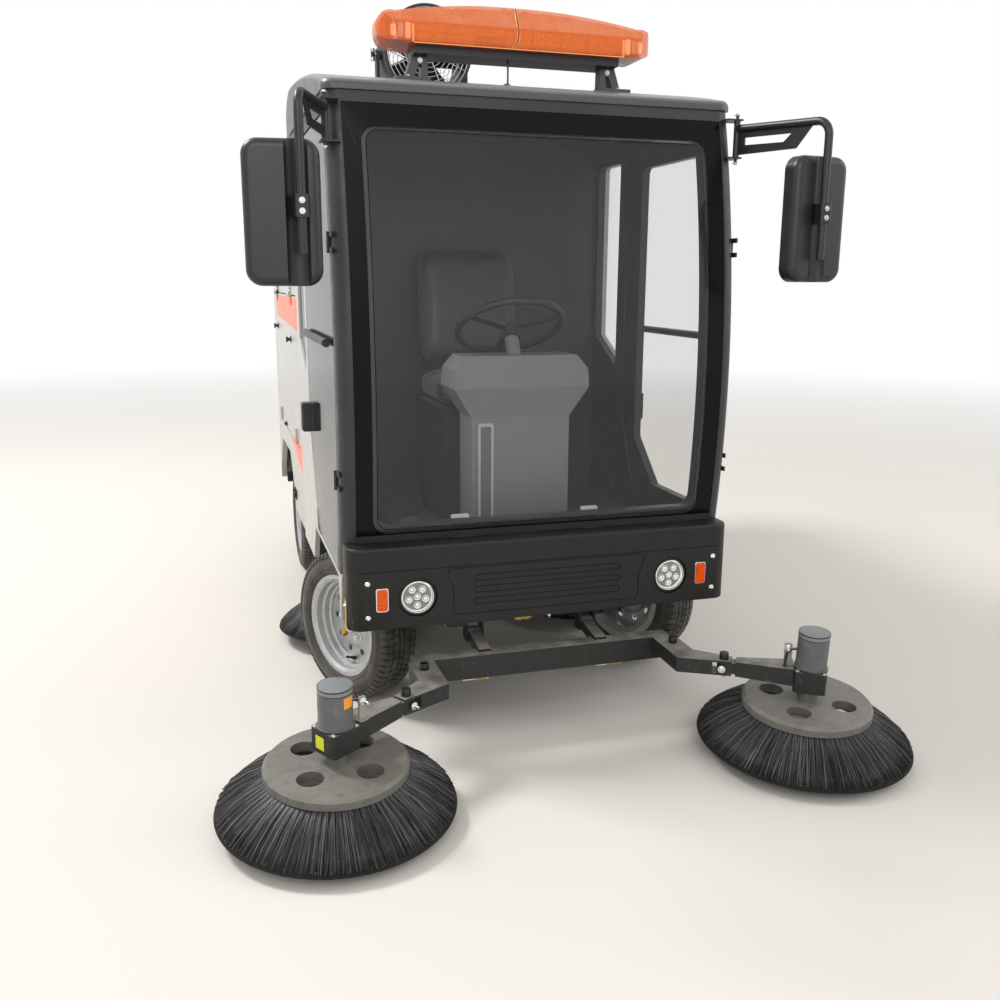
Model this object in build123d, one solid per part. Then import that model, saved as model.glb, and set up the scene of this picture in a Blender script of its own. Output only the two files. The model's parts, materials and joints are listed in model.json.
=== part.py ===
from build123d import *
import math
import os

os.makedirs("parts", exist_ok=True)

# Compact road sweeper with a closed cab, in millimetres.
# The machine faces -Y, +X is its own left side, +Z is up and z = 0 is the road.

# Clearances
fit_gap = 0.3
run_gap = 5.0
weld = 1.0

# Stations along the machine
bumper_y = -980.0
cab_rear_y = 220.0
body_gap = 12.0
body_rear_y = 1640.0
tail_y = 1664.5
front_axle_y = -443.0
rear_axle_y = 1170.0

# Wheels
tyre_r = 266.0
tyre_w = 155.0
rim_seat_r = 168.0
rim_flange_r = 182.0
rim_half_w = 62.0
rim_flange_t = 5.0
rim_disc_r = 142.0
nut_ring_r = 57.0
nut_count = 5
vent_ring_r = 112.0
vent_count = 10
vent_r = 11.0
front_track_x = 555.0
rear_track_x = 518.0
kingpin_x = 470.0
kingpin_r = 11.0
steer_rest = 27.0
spindle_r = 22.0
spindle_reach = 26.0
arch_clear = 14.0

# Cab shell: a box whose front is one large arc seen from the side
cab_half_w = 645.0
cab_wall = 46.0
cab_base_z = 408.0
cab_top_z = 1985.0
cab_corner_r = 46.0
front_arc_r = 3156.0
front_arc_z = 1144.0
front_arc_y = -941.5
floor_z = 560.0
floor_thick = 8.0
skin_thick = 18.0
skin_top_drop = 62.0

# Windscreen
screen_side = 45.0
screen_border = 66.0
screen_bottom_z = 684.0
screen_top_z = 1950.0
screen_thick = 6.0
screen_seat = 2.0
screen_corner_r = 40.0

# Cab roof: it rises to the rear and drops behind
roof_front_y = -826.0
roof_overhang = 6.0
roof_lip_z = 2012.0
roof_mid_y = -440.0
roof_mid_z = 2090.0
roof_high_y = 130.0
roof_high_z = 2150.0
roof_tail_y = 330.0
roof_tail_z = 2060.0
roof_wall = 22.0
roof_edge_r = 24.0
roof_corner_r = 42.0

# Cab doors
door_gap = 6.0
door_thick = 34.0
door_stop = 14.0
door_glass_t = 5.0
door_front_set = 78.0
door_top_z = 1925.0
door_rear_y = -130.0
door_knee_z = 930.0
door_low_y = -262.0
door_low_z = 644.0
door_toe_y = -352.0
door_bottom_z = 566.0
door_corner_r = 26.0
door_border = 62.0
door_rear_border = 120.0
door_pin_y = -868.0
door_hinge_z = (860.0, 1560.0)
door_rail_z = 1268.0
door_rail_r = 13.0
latch_z = 960.0

# Quarter window behind the door
quarter_front_y = -70.0
quarter_rear_y = 150.0
quarter_top_z = 1900.0
quarter_low_z = 1110.0
quarter_rise = 115.0

# Hinges
hinge_pin_share = 0.5
hinge_knuckle_r = 8.0
hinge_len = 76.0
hinge_leaf_t = 4.0
hinge_reach = 42.0
hinge_lift = 1.5
door_knuckle_r = 5.0
door_hinge_len = 60.0

# Chassis
rail_x = 270.0
rail_w = 60.0
rail_h = 80.0
rail_z = 350.0
rail_front_y = -862.0
cross_inset = 10.0
cross_d = 50.0
rider_d = 40.0
rider_h = 50.0

# Front axle and springs
axle_h = 44.0
axle_d = 60.0
yoke_h = 132.0
yoke_lug_t = 18.0
brake_r = 62.0
spring_w = 50.0
spring_t = 8.0
spring_half = 300.0
spring_eye_z = 336.0
spring_eye_r = 12.0
spring_low_z = 298.0

# Rear axle
axle_tube_r = 36.0
diff_r = 108.0
diff_x = 60.0
motor_case_r = 78.0
motor_case_len = 300.0

# Rear body
body_step = 13.0
body_wall = 26.0
body_base_z = 400.0
body_top_z = 1965.0
body_front_r = 12.0
body_rear_r = 60.0
rear_arch_half = 420.0
rear_arch_top_z = 640.0
rear_arch_low_z = 470.0
rear_arch_lead = 20.0
rear_arch_corner_r = 30.0
service_y0 = 420.0
service_y1 = 1480.0
service_z0 = 742.0
service_z1 = 1380.0
service_thick = 22.0
service_hinge_y = (620.0, 1357.0)
service_latch_y = (541.0, 1320.0)
tail_door_half_w = 500.0
tail_door_z0 = 520.0
tail_door_z1 = 1800.0
tail_hinge_z = (640.0, 1160.0, 1680.0)
tow_y = 1632.0
tow_hole_r = 12.0

# Bumper and lamps
bumper_z0 = 408.0
bumper_z1 = 666.0
bumper_side = 5.0
bumper_wall = 14.0
bumper_corner_r = 48.0
bumper_back_y = -886.0
lamp_x = 425.5
lamp_z = 503.0
lamp_r = 51.5
lamp_recess_r = 62.0
blinker_x = 536.0
blinker_z = 503.0
blinker_w = 40.0
blinker_h = 76.0
rib_half_w = 245.0
rib_count = 3
rib_pitch = 38.0
rib_h = 19.0
rib_corner_r = 6.0
rib_mid_z = 513.0
groove_w = 4.0
groove_depth = 3.0
groove_top_z = 592.0
panel_corner_r = 16.0

# Front brush gear: beam under the bumper, knee arms, gear motors
beam_y = -942.0
beam_z = 250.0
beam_h = 76.0
beam_d = 60.0
beam_half_w = 440.0
link_x = 200.0
lift_y = -800.0
lift_z = 300.0
lift_eye_r = 24.0
lift_pin_r = 8.0
arm_top_z = 288.0
arm_h = 48.0
arm_w = 46.0
knee_x = 420.0
knee_y = -1035.0
elbow_x = 512.5
elbow_y = -1209.0
elbow_pin_r = 8.0
fork_t = 6.0
fork_reach = 25.0
fork_room = 36.0
bolt_head_r = 14.0
bolt_head_h = 20.0
brush_x = 733.0
brush_y = -1345.0
brush_plate_z = 186.0
brush_plate_r = 198.0
brush_plate_h = 30.0
brush_bevel = 9.0
brush_ring_r = 329.0
brush_ring_band = 74.0
brush_drop = 133.0
brush_tilt = 3.8
brush_hole_r = 37.0
brush_hole_at = 112.0
gearbox_w = 96.0
gearbox_z = 35.0
gearbox_h = 68.0
motor_r = 46.0
lead_r = 4.0
lead_turn = -20.0
motor_h = 120.0

# Mid brushes and roller brush
mid_x = 515.0
mid_y = 110.0
mid_ring_r = 260.0
mid_ring_band = 60.0
mid_plate_r = 140.0
mid_plate_z = 176.0
mid_plate_h = 24.0
mid_drop = 118.0
mid_gear_w = 90.0
mid_gear_h = 70.0
mid_arm_h = 40.0
mid_arm_w = 44.0
mid_eye_r = 24.0
mid_eye_half = 40.0
roller_y = 590.0
roller_z = 168.0
roller_r = 150.0
roller_half_w = 400.0
roller_shaft_r = 15.0
hood_room = 24.0
hood_wall = 16.0
hood_base_z = 90.0

# Light bar
bar_y = -570.0
bar_half_w = 455.0
bar_base_half_w = 338.0
bar_rise = 45.0
bar_base_h = 22.0
bar_h = 156.0
bar_brow = 41.0
bar_ridge_h = 62.0
bar_slope = 52.0
bar_edge_r = 16.0
bar_depth = 170.0
bar_plan_r = 72.0
foot_x = 338.0
foot_half = 50.0
foot_d = 44.0
foot_drop = 18.0
bar_lead_x = -28.0
bar_lead_r = 3.0

# Mist fan on the rear body
fan_x = -90.0
fan_y = 400.0
fan_z = 2330.0
fan_r = 168.0
fan_wall = 9.0
fan_len = 250.0
fan_lip_r = 176.0
fan_blades = 7
fan_hub_r = 36.0
yoke_gap = 8.0
yoke_t = 12.0
yoke_d = 44.0

# Mirrors
# each shell is set on its tube by hand: name, side, middle X, middle Z
mirror_places = [
    ("left", 1, 764.0, 1636.0),
    ("right", -1, 800.0, 1621.0),
]
mirror_y = -1150.0
mirror_w = 196.0
mirror_h = 364.0
mirror_d = 56.0
mirror_toe = 8.0
mirror_corner_r = 42.0
mirror_back_r = 22.0
mirror_lip = 9.0
mirror_groove_r = 32.0
mirror_tube_x = 757.0
mirror_tube_y = -1206.0
mirror_tube_z = 1912.0
mirror_tube_r = 12.0
mirror_tube_end_z = 1520.0
mirror_pin_x = 650.0
mirror_pin_y = -865.0
mirror_lug_z = (1838.0, 1952.0)
mirror_lug_t = 5.0

# Driver's place
console_y = -600.0
console_top_z = 1210.0
wheel_hub_y = -540.0
wheel_hub_z = 1300.0
wheel_r = 180.0
wheel_rim_r = 13.0
seat_y = -205.0
seat_half_w = 235.0
seat_depth = 450.0
seat_top_z = 1115.0
seat_pad_t = 110.0
back_h = 500.0
back_t = 90.0
back_lean = 10.0

# Values that follow from the sizes above
cab_inner_x = cab_half_w - cab_wall
cab_floor_under_z = floor_z - floor_thick
sill_z = 2 * tyre_r + arch_clear
screen_half_w = cab_half_w - screen_side
bumper_half_w = cab_half_w - bumper_side
body_front_y = cab_rear_y + body_gap
body_half_w = cab_half_w - body_step
body_inner_x = body_half_w - body_wall
rail_top_z = rail_z + rail_h
rail_rear_y = body_rear_y - body_wall - fit_gap
wheel_z = tyre_r
bar_base_z = roof_mid_z + bar_rise
bar_crown_z = bar_base_z + bar_h
arm_z = arm_top_z - arm_h / 2

parts = {}


def put(name, *shapes):
    """Collect the solids of one named piece."""
    solids = []
    for shape in shapes:
        solids.extend(shape.solids())
    parts[name] = solids


def block(x0, x1, y0, y1, z0, z1):
    """A box between two corners."""
    middle = Pos((x0 + x1) / 2, (y0 + y1) / 2, (z0 + z1) / 2)
    return middle * Box(abs(x1 - x0), abs(y1 - y0), abs(z1 - z0))


def rod(start, end, r):
    """A round bar from one point to another."""
    a = Vector(*start)
    b = Vector(*end)
    plane = Plane(origin=a, z_dir=b - a)
    return plane * Cylinder(r, (b - a).length, align=(Align.CENTER, Align.CENTER, Align.MIN))


def side_form(points, x0, x1, grow=0.0):
    """A plate with an outline in Y and Z, from x0 to x1, drawn out by grow."""
    face = Polygon(*points, align=None)
    if grow:
        face = offset(face, grow, kind=Kind.INTERSECTION)
    return Pos(x0, 0, 0) * extrude(Plane.YZ * face, amount=x1 - x0, dir=(1, 0, 0))


def flat_form(points, z0, z1):
    """A plate with an outline in X and Y, from z0 to z1."""
    return Pos(0, 0, z0) * extrude(Polygon(*points, align=None), amount=z1 - z0, dir=(0, 0, 1))


def bar(start, end, width, height):
    """A square bar along a centre line, its width level."""
    a = Vector(*start)
    b = Vector(*end)
    plane = Plane(origin=a, x_dir=(b - a).cross(Vector(0, 0, 1)), z_dir=b - a)
    return plane * Box(width, height, (b - a).length, align=(Align.CENTER, Align.CENTER, Align.MIN))


def tube_along(points, bend_r, r):
    """A round tube along straight runs joined by arcs."""
    path = FilletPolyline(*points, radius=bend_r)
    return sweep(Plane(origin=path @ 0, z_dir=path % 0) * Circle(r), path=path)


def flip(shape):
    """The same piece on the other side."""
    return mirror(shape, about=Plane.YZ)


def round_edges(shape, axis, radius):
    """Round all edges that run along an axis."""
    return fillet(shape.edges().filter_by(axis), radius)


def hinge(origin, along, out, seat, knuckle_r, length):
    """Two hinge halves: a pin with its outer knuckles, and a barrel with its leaf.

    The moving leaf points along, and out is the outward normal. The leaf's
    underside lies at the given height over the moving piece.
    """
    place = Plane(origin=origin, x_dir=along, z_dir=Vector(*along).cross(Vector(*out)))
    low = -knuckle_r - hinge_lift
    end = length / 4
    pin_r = knuckle_r * hinge_pin_share
    fixed = Cylinder(pin_r, length)
    for side in (-1, 1):
        z = side * (length - end) / 2
        fixed += Pos(0, 0, z) * Cylinder(knuckle_r, end)
        fixed += Pos(-hinge_reach / 2, low + (hinge_leaf_t - weld) / 2, z) * Box(
            hinge_reach, hinge_leaf_t + weld, end)
    span = length - 2 * end - 2 * fit_gap
    moving = Cylinder(knuckle_r, span)
    moving += Pos(hinge_reach / 2, low + (hinge_leaf_t + seat) / 2, 0) * Box(
        hinge_reach, hinge_leaf_t - seat, span)
    moving -= Cylinder(pin_r + fit_gap, length)
    return place * fixed, place * moving


def front_arc(inset):
    """The round body whose skin is the bulged cab front, drawn in by an inset."""
    centre_y = front_arc_y + front_arc_r
    reach = 2 * cab_half_w
    return rod((-reach, centre_y, front_arc_z), (reach, centre_y, front_arc_z), front_arc_r - inset)


def cab_solid(inset, z0, z1):
    """The outer form of the cab, drawn in by an inset."""
    half = cab_half_w - inset
    form = block(-half, half, bumper_y, cab_rear_y - inset, z0, z1) & front_arc(inset)
    corners = []
    for edge in form.edges():
        middle = edge.center()
        tall = edge.bounding_box().size.Z > (z1 - z0) - weld
        if tall and abs(abs(middle.X) - half) < weld and middle.Y < front_axle_y:
            corners.append(edge)
    return fillet(corners, max(cab_corner_r - inset, fork_t))


def front_band(inset0, inset1, z0, z1, half_w):
    """A band of the bulged cab front between two insets."""
    window = block(-half_w, half_w, bumper_y, front_axle_y, z0, z1)
    return (window & front_arc(inset0)) - front_arc(inset1)


def door_form(x0, x1, grow):
    """The door's outline as a solid, larger by grow all round."""
    points = [
        (bumper_y, door_bottom_z),
        (bumper_y, door_top_z),
        (door_rear_y, door_top_z),
        (door_rear_y, door_knee_z),
        (door_low_y, door_low_z),
        (door_toe_y, door_bottom_z),
    ]
    form = side_form(points, x0, x1, grow) & front_arc(door_front_set - grow)
    return round_edges(form, Axis.X, door_corner_r + grow)


def both_sides(form):
    """A cut that goes through both sides of the machine."""
    return form + flip(form)


def wheel_arch():
    """Open space around a steered front wheel, seen from the side."""
    points = [(-850, 300), (-818, sill_z), (-190, sill_z), (-50, 300)]
    return both_sides(side_form(points, rail_x + rail_w, cab_half_w + run_gap))


def quarter_form(x0, x1, grow):
    """The quarter window's outline as a solid."""
    points = [
        (quarter_front_y, quarter_low_z),
        (quarter_rear_y, quarter_low_z + quarter_rise),
        (quarter_rear_y, quarter_top_z),
        (quarter_front_y, quarter_top_z),
    ]
    return round_edges(side_form(points, x0, x1, grow), Axis.X, 16)


def build_cab():
    """Hollow cab: frame, side skins, fixed glass and floor."""
    outer = cab_half_w + run_gap
    shell = cab_solid(0.0, cab_base_z, cab_top_z) - cab_solid(cab_wall, cab_base_z - 10, cab_top_z + 10)
    shell -= front_band(-2 * cab_wall, screen_seat + screen_thick, screen_bottom_z - fit_gap,
                        screen_top_z + fit_gap, screen_half_w + fit_gap)
    opening = block(-screen_half_w + screen_border, screen_half_w - screen_border, bumper_y, front_axle_y,
                    screen_bottom_z + screen_border / 2, screen_top_z - screen_border)
    shell -= round_edges(opening, Axis.Y, screen_corner_r)
    # each door opening has a stop behind the door
    shell -= both_sides(door_form(cab_half_w - door_thick - door_gap, outer, door_gap))
    shell -= both_sides(door_form(cab_inner_x - run_gap, outer, -door_stop))
    # side skins lie flush in the frame
    area = [
        (bumper_y, cab_base_z),
        (cab_rear_y, cab_base_z),
        (cab_rear_y, cab_top_z - skin_top_drop),
        (door_low_y, cab_top_z - skin_top_drop),
        (door_low_y, door_bottom_z - door_gap),
        (bumper_y, door_bottom_z - door_gap),
    ]
    recess = side_form(area, cab_half_w - skin_thick - fit_gap, outer)
    shell -= both_sides(recess)
    shell -= wheel_arch()
    shell -= both_sides(quarter_form(cab_inner_x - run_gap, outer, 0.0))
    # the floor's front edge and the rails pass under the cab
    shell -= block(-cab_inner_x, cab_inner_x, bumper_y, cab_rear_y + run_gap, cab_base_z - 10, rail_top_z + run_gap)
    shell -= block(-cab_inner_x, cab_inner_x, bumper_y, rail_front_y + 2 * rail_w, cab_base_z - 10,
                   floor_z + 2 * rail_w)
    body = max(shell.solids(), key=lambda s: s.volume)
    for side in (-1, 1):
        for z in mirror_lug_z:
            lug = block(side * (screen_half_w + 8), side * (mirror_pin_x + 14), mirror_pin_y - 14, mirror_pin_y + 48,
                        z - mirror_lug_t / 2, z + mirror_lug_t / 2)
            body += lug
        pin_x = side * mirror_pin_x
        body += rod((pin_x, mirror_pin_y, mirror_lug_z[0] - 14), (pin_x, mirror_pin_y, mirror_lug_z[1] + 14), 5)
    fixed = [door_hinge(z)[0] for z in door_hinge_z]
    for half in fixed:
        body = body + half + flip(half)
    put("cab_frame", body)

    skin = (side_form(area, cab_half_w - skin_thick, cab_half_w) & front_arc(fit_gap))
    skin -= door_form(cab_inner_x, outer, door_gap)
    skin -= wheel_arch()
    skin -= quarter_form(cab_inner_x, outer, 0.0)
    skin -= block(cab_inner_x, outer, bumper_y, bumper_back_y + weld, cab_base_z - 10, bumper_z1 + weld)
    put("side_panels", skin, flip(skin))

    pane = quarter_form(cab_half_w - 12, cab_half_w - 7, -fit_gap)
    put("cab_glass", pane, flip(pane))
    screen = front_band(screen_seat, screen_seat + screen_thick - fit_gap, screen_bottom_z, screen_top_z,
                        screen_half_w)
    put("windscreen", screen)

    gap = cab_inner_x - fit_gap
    floor = block(-gap, gap, rail_front_y + 22, cab_rear_y - cab_wall - fit_gap, cab_floor_under_z, floor_z)
    put("cab_floor", round_edges(floor, Axis.Z, 8), *pedals())


def door_hinge(z):
    """Hinge of the left door at a height, with the leaf clamped on the pane."""
    pin_x = cab_half_w + door_knuckle_r + hinge_lift
    return hinge((pin_x, door_pin_y, z), (0, 1, 0), (1, 0, 0), fit_gap, door_knuckle_r, door_hinge_len)


def roof_form(inset):
    """The roof's solid form, drawn in by an inset."""
    low = cab_top_z + fit_gap if inset == 0 else cab_top_z - roof_wall
    nose_y = roof_front_y - roof_overhang + inset
    tail_y0 = roof_tail_y - inset
    nose = (nose_y, roof_lip_z - inset)
    high = (roof_high_y, roof_high_z - inset)
    fall = (roof_tail_y - 60, roof_tail_z + 50 - inset)
    crown = ThreePointArc(nose, (roof_mid_y, roof_mid_z - inset), high)
    face = make_face([
        Line((nose_y, low), nose),
        crown,
        TangentArc(high, fall, tangent=crown % 1),
        Line(fall, (tail_y0, roof_tail_z - inset)),
        Line((tail_y0, roof_tail_z - inset), (tail_y0, low)),
        Line((tail_y0, low), (nose_y, low)),
    ])
    half = cab_half_w + roof_overhang - inset
    return Pos(-half, 0, 0) * extrude(Plane.YZ * face, amount=2 * half, dir=(1, 0, 0))


def build_roof():
    """Roof shell with a rising line and a dropped tail."""
    outer = round_edges(roof_form(0), Axis.Z, roof_corner_r)
    tops = [e for e in outer.edges() if e.center().Z > roof_lip_z - weld and abs(e.center().X) > weld]
    nose = [e for e in outer.edges().filter_by(Axis.X) if e.center().Z > cab_top_z + roof_wall
            and (e.center().Y < roof_mid_y or e.center().Y > roof_tail_y - weld)]
    outer = fillet(tops + nose, roof_edge_r)
    inner = roof_form(roof_wall)
    half = cab_half_w
    inner &= block(-half, half, bumper_y, cab_rear_y - roof_wall, cab_top_z - 2 * roof_wall, roof_high_z)
    put("cab_roof", outer - inner)


def build_doors():
    """Front hinged doors: steel frame with one full pane outside."""
    inner = cab_half_w - door_thick
    pane_in = cab_half_w - door_glass_t
    frame = door_form(inner, pane_in - fit_gap, 0.0)
    hole = [
        (bumper_y, door_bottom_z + 2 * door_border),
        (bumper_y, door_top_z - door_border),
        (door_rear_y - door_rear_border, door_top_z - door_border),
        (door_rear_y - door_rear_border, door_knee_z - 80),
        (door_low_y - door_rear_border - 48, door_bottom_z + 2 * door_border),
    ]
    window = side_form(hole, inner - run_gap, cab_half_w) & front_arc(door_front_set + door_border)
    frame -= round_edges(window, Axis.X, door_corner_r)
    pane = door_form(pane_in, pane_in + door_glass_t, -2.0)
    face_x = pane_in + door_glass_t + fit_gap
    rail_x0 = face_x + door_rail_r
    rail = rod((rail_x0, door_pin_y + 68, door_rail_z), (rail_x0, door_rear_y - 60, door_rail_z), door_rail_r)
    latch = block(face_x, face_x + 34, door_rear_y - 58, door_rear_y - 4, latch_z - 52, latch_z + 52)
    latch = fillet(latch.faces().sort_by(Axis.X)[-1].edges(), 8)
    leaves = [door_hinge(z)[1] for z in door_hinge_z]
    for name, turn in (("left", False), ("right", True)):
        pieces = [frame, rail, latch] + leaves
        put("door_" + name, *[flip(p) if turn else p for p in pieces])
        put("door_glass_" + name, flip(pane) if turn else pane)


def build_bumper():
    """Moulded bumper with ribs, a grooved panel and lamp recesses."""
    half = bumper_half_w
    outer = block(-half, half, bumper_y, bumper_back_y, bumper_z0, bumper_z1)
    corners = [e for e in outer.edges().filter_by(Axis.Z) if e.center().Y < bumper_y + weld]
    outer = fillet(corners, bumper_corner_r)
    rims = [e for e in outer.edges() if e.center().Z > bumper_z1 - weld and e.center().Y < bumper_back_y - weld]
    outer = fillet(rims, 10)
    inner = block(-half + bumper_wall, half - bumper_wall, bumper_y + bumper_wall, bumper_back_y + run_gap,
                  bumper_z0 - 5, bumper_z1 - bumper_wall)
    shell = outer - inner
    for side in (-1, 1):
        x = side * lamp_x
        shell -= rod((x, bumper_y - 5, lamp_z), (x, bumper_y + 2 * bumper_wall, lamp_z), lamp_recess_r)
        x = side * blinker_x
        shell -= block(x - blinker_w / 2, x + blinker_w / 2, bumper_y - 5, bumper_y + 2 * bumper_wall,
                       blinker_z - blinker_h / 2, blinker_z + blinker_h / 2)
    front = Plane(origin=(0, bumper_y + groove_depth, 0), x_dir=(1, 0, 0), z_dir=(0, -1, 0))
    panel = [(-338, 586), (-312, 518), (-312, 436), (312, 436), (312, 518), (338, 586)]
    panel = Polygon(*panel, align=None)
    outlines = [fillet(panel.vertices(), panel_corner_r)]
    for i in range(rib_count):
        z = rib_mid_z + (i - (rib_count - 1) / 2) * rib_pitch
        outlines.append(Pos(0, z) * RectangleRounded(2 * rib_half_w, rib_h, rib_corner_r))
    for outline in outlines:
        band = offset(outline, groove_w / 2) - offset(outline, -groove_w / 2)
        shell -= extrude(front * band, amount=2 * groove_depth, dir=(0, -1, 0))
    shell -= block(-half, half, bumper_y - 5, bumper_y + groove_depth, groove_top_z - groove_w / 2,
                   groove_top_z + groove_w / 2)
    shell -= cab_solid(-fit_gap, bumper_z0 - 5, bumper_z1 + 5)
    put("front_bumper", max(shell.solids(), key=lambda s: s.volume))

    lamps = []
    blinkers = []
    for side in (-1, 1):
        x = side * lamp_x
        lamp = rod((x, bumper_y + 9, lamp_z), (x, bumper_y + 34, lamp_z), lamp_recess_r - fit_gap)
        lamp += rod((x, bumper_y - 2, lamp_z), (x, bumper_y + 10, lamp_z), lamp_r)
        lamps.append(lamp)
        x = side * blinker_x
        half_w = blinker_w / 2 - fit_gap
        half_h = blinker_h / 2 - fit_gap
        lens = block(x - half_w, x + half_w, bumper_y - 6, bumper_y + 30, blinker_z - half_h, blinker_z + half_h)
        blinkers.append(round_edges(lens, Axis.Y, 4))
    put("headlamps", *lamps)
    put("indicators", *blinkers)


def build_interior():
    """Control column, steering wheel and seat."""
    foot = floor_z + fit_gap
    waist_z = console_top_z - 205
    column = block(-172, 172, console_y - 80, console_y + 80, foot, waist_z + weld)
    head = loft([
        Pos(0, console_y, waist_z) * Rectangle(344, 160),
        Pos(0, console_y, console_top_z - 105) * Rectangle(470, 200),
    ], ruled=True)
    head += loft([
        Pos(0, console_y, console_top_z - 105) * Rectangle(470, 200),
        Pos(0, console_y, console_top_z - 45) * Rectangle(462, 190),
        Pos(0, console_y, console_top_z) * Rectangle(396, 150),
    ], ruled=True)
    axis = Plane(origin=(0, wheel_hub_y, wheel_hub_z), x_dir=(1, 0, 0), z_dir=(0, 0.5, 0.87))
    tube = axis * Pos(0, 0, -95) * Cylinder(24, 100)
    put("console", column + head + tube)
    wheel = axis * Torus(wheel_r, wheel_rim_r) + axis * Pos(0, 0, -22) * Cylinder(32, 45)
    for turn in (90, 210, 330):
        wheel += axis * Rot(0, 0, turn) * Pos(wheel_r / 2, 0, -8) * Box(wheel_r - 10, 26, 12)
    put("steering_wheel", wheel)

    under = seat_top_z - seat_pad_t
    front = seat_y - seat_depth / 2
    base = block(-190, 190, front + 70, seat_y + seat_depth / 2, foot, under - 40)
    base += block(-210, 210, front + 20, seat_y + seat_depth / 2, under - 41, under - fit_gap)
    put("seat_frame", base)
    cushion = block(-seat_half_w, seat_half_w, front, seat_y + seat_depth / 2, under, seat_top_z)
    cushion = fillet(cushion.edges(), 28)
    back = Pos(0, seat_y + seat_depth / 2 + 8, seat_top_z + back_h / 2 - 20) * Rot(-back_lean, 0, 0)
    back = back * Box(2 * seat_half_w - 30, back_t, back_h)
    back = fillet(back.edges(), 28)
    back -= block(-seat_half_w, seat_half_w, front, seat_y + seat_depth, under - 100, seat_top_z + fit_gap)
    put("seat_cushions", cushion, back)


def pedals():
    """Brake and drive pedals on the cab floor."""
    pads = []
    for x in (-225, 235):
        pad = Pos(x, -740, floor_z + 95) * Rot(55, 0, 0) * Box(66, 90, 10)
        pad += rod((x, -780, floor_z + 6), (x, -748, floor_z + 92), 8)
        pad += block(x - 20, x + 20, -800, -760, floor_z + fit_gap, floor_z + 10)
        pads.append(pad)
    return pads


def build_wheels():
    """Four wheels, the front pair steered as it stands."""
    half = tyre_w / 2
    bead_x = rim_half_w - fit_gap
    lip_r = rim_flange_r + fit_gap
    outline = [
        Line((-bead_x, rim_seat_r), (bead_x, rim_seat_r)),
        Line((bead_x, rim_seat_r), (bead_x, lip_r)),
        Line((bead_x, lip_r), (bead_x + 8, lip_r + 4)),
        ThreePointArc((bead_x + 8, lip_r + 4), (half, lip_r + 30), (half - 6, tyre_r - 24)),
        ThreePointArc((half - 6, tyre_r - 24), (half - 11, tyre_r - 10), (half - 24, tyre_r - 4)),
        ThreePointArc((half - 24, tyre_r - 4), (0, tyre_r), (24 - half, tyre_r - 4)),
        ThreePointArc((24 - half, tyre_r - 4), (11 - half, tyre_r - 10), (6 - half, tyre_r - 24)),
        ThreePointArc((6 - half, tyre_r - 24), (-half, lip_r + 30), (-bead_x - 8, lip_r + 4)),
        Line((-bead_x - 8, lip_r + 4), (-bead_x, lip_r)),
        Line((-bead_x, lip_r), (-bead_x, rim_seat_r)),
    ]
    tyre = revolve(make_face(outline), axis=Axis.X)
    wheel = rim()
    places = [
        ("front_left", 1, front_axle_y, True),
        ("front_right", -1, front_axle_y, True),
        ("rear_left", 1, rear_axle_y, False),
        ("rear_right", -1, rear_axle_y, False),
    ]
    for name, side, y, steered in places:
        if steered:
            place = Pos(side * kingpin_x, y, wheel_z) * Rot(0, 0, steer_rest)
            place = place * Pos(side * (front_track_x - kingpin_x), 0, 0)
        else:
            place = Pos(side * rear_track_x, y, wheel_z)
        put("tyre_" + name, place * (tyre if side > 0 else flip(tyre)))
        put("rim_" + name, place * (wheel if side > 0 else flip(wheel)))


def rim():
    """Steel wheel with a stepped well, a deep disc, vents and nuts."""
    edge_x = rim_half_w + rim_flange_t
    seat = rim_seat_r - fit_gap
    well = [
        (edge_x, rim_flange_r), (edge_x, seat), (edge_x - 8, seat - 9), (38, seat - 11), (33, seat - 20),
        (16, seat - 22), (11, rim_disc_r - 4), (-rim_half_w + 8, rim_disc_r - 4), (-edge_x, seat - 9),
        (-edge_x, rim_flange_r), (-rim_half_w, rim_flange_r), (-rim_half_w, seat), (rim_half_w, seat),
        (rim_half_w, rim_flange_r),
    ]
    wheel = revolve(Polygon(*well, align=None), axis=Axis.X)
    disc = [
        (5, rim_disc_r), (-5, rim_disc_r), (-6, 128), (-6, 96), (2, 82), (2, 30), (12, 30), (12, 82), (3, 98), (3, 126),
    ]
    wheel += revolve(Polygon(*disc, align=None), axis=Axis.X)
    wheel += rod((-14, 0, 0), (12, 0, 0), 50)
    wheel += rod((10, 0, 0), (spindle_reach + 8, 0, 0), 32)
    for i in range(vent_count):
        turn = Rot(360 * i / vent_count, 0, 0)
        wheel -= turn * rod((-20, vent_ring_r, 0), (20, vent_ring_r, 0), vent_r)
    for i in range(nut_count):
        turn = Rot(360 * i / nut_count, 0, 0)
        nut = extrude(Plane.YZ * RegularPolygon(11, 6), amount=14)
        wheel += turn * Pos(11, 0, nut_ring_r) * nut
    return wheel - rod((-15, 0, 0), (spindle_reach + fit_gap, 0, 0), spindle_r + fit_gap)


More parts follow.
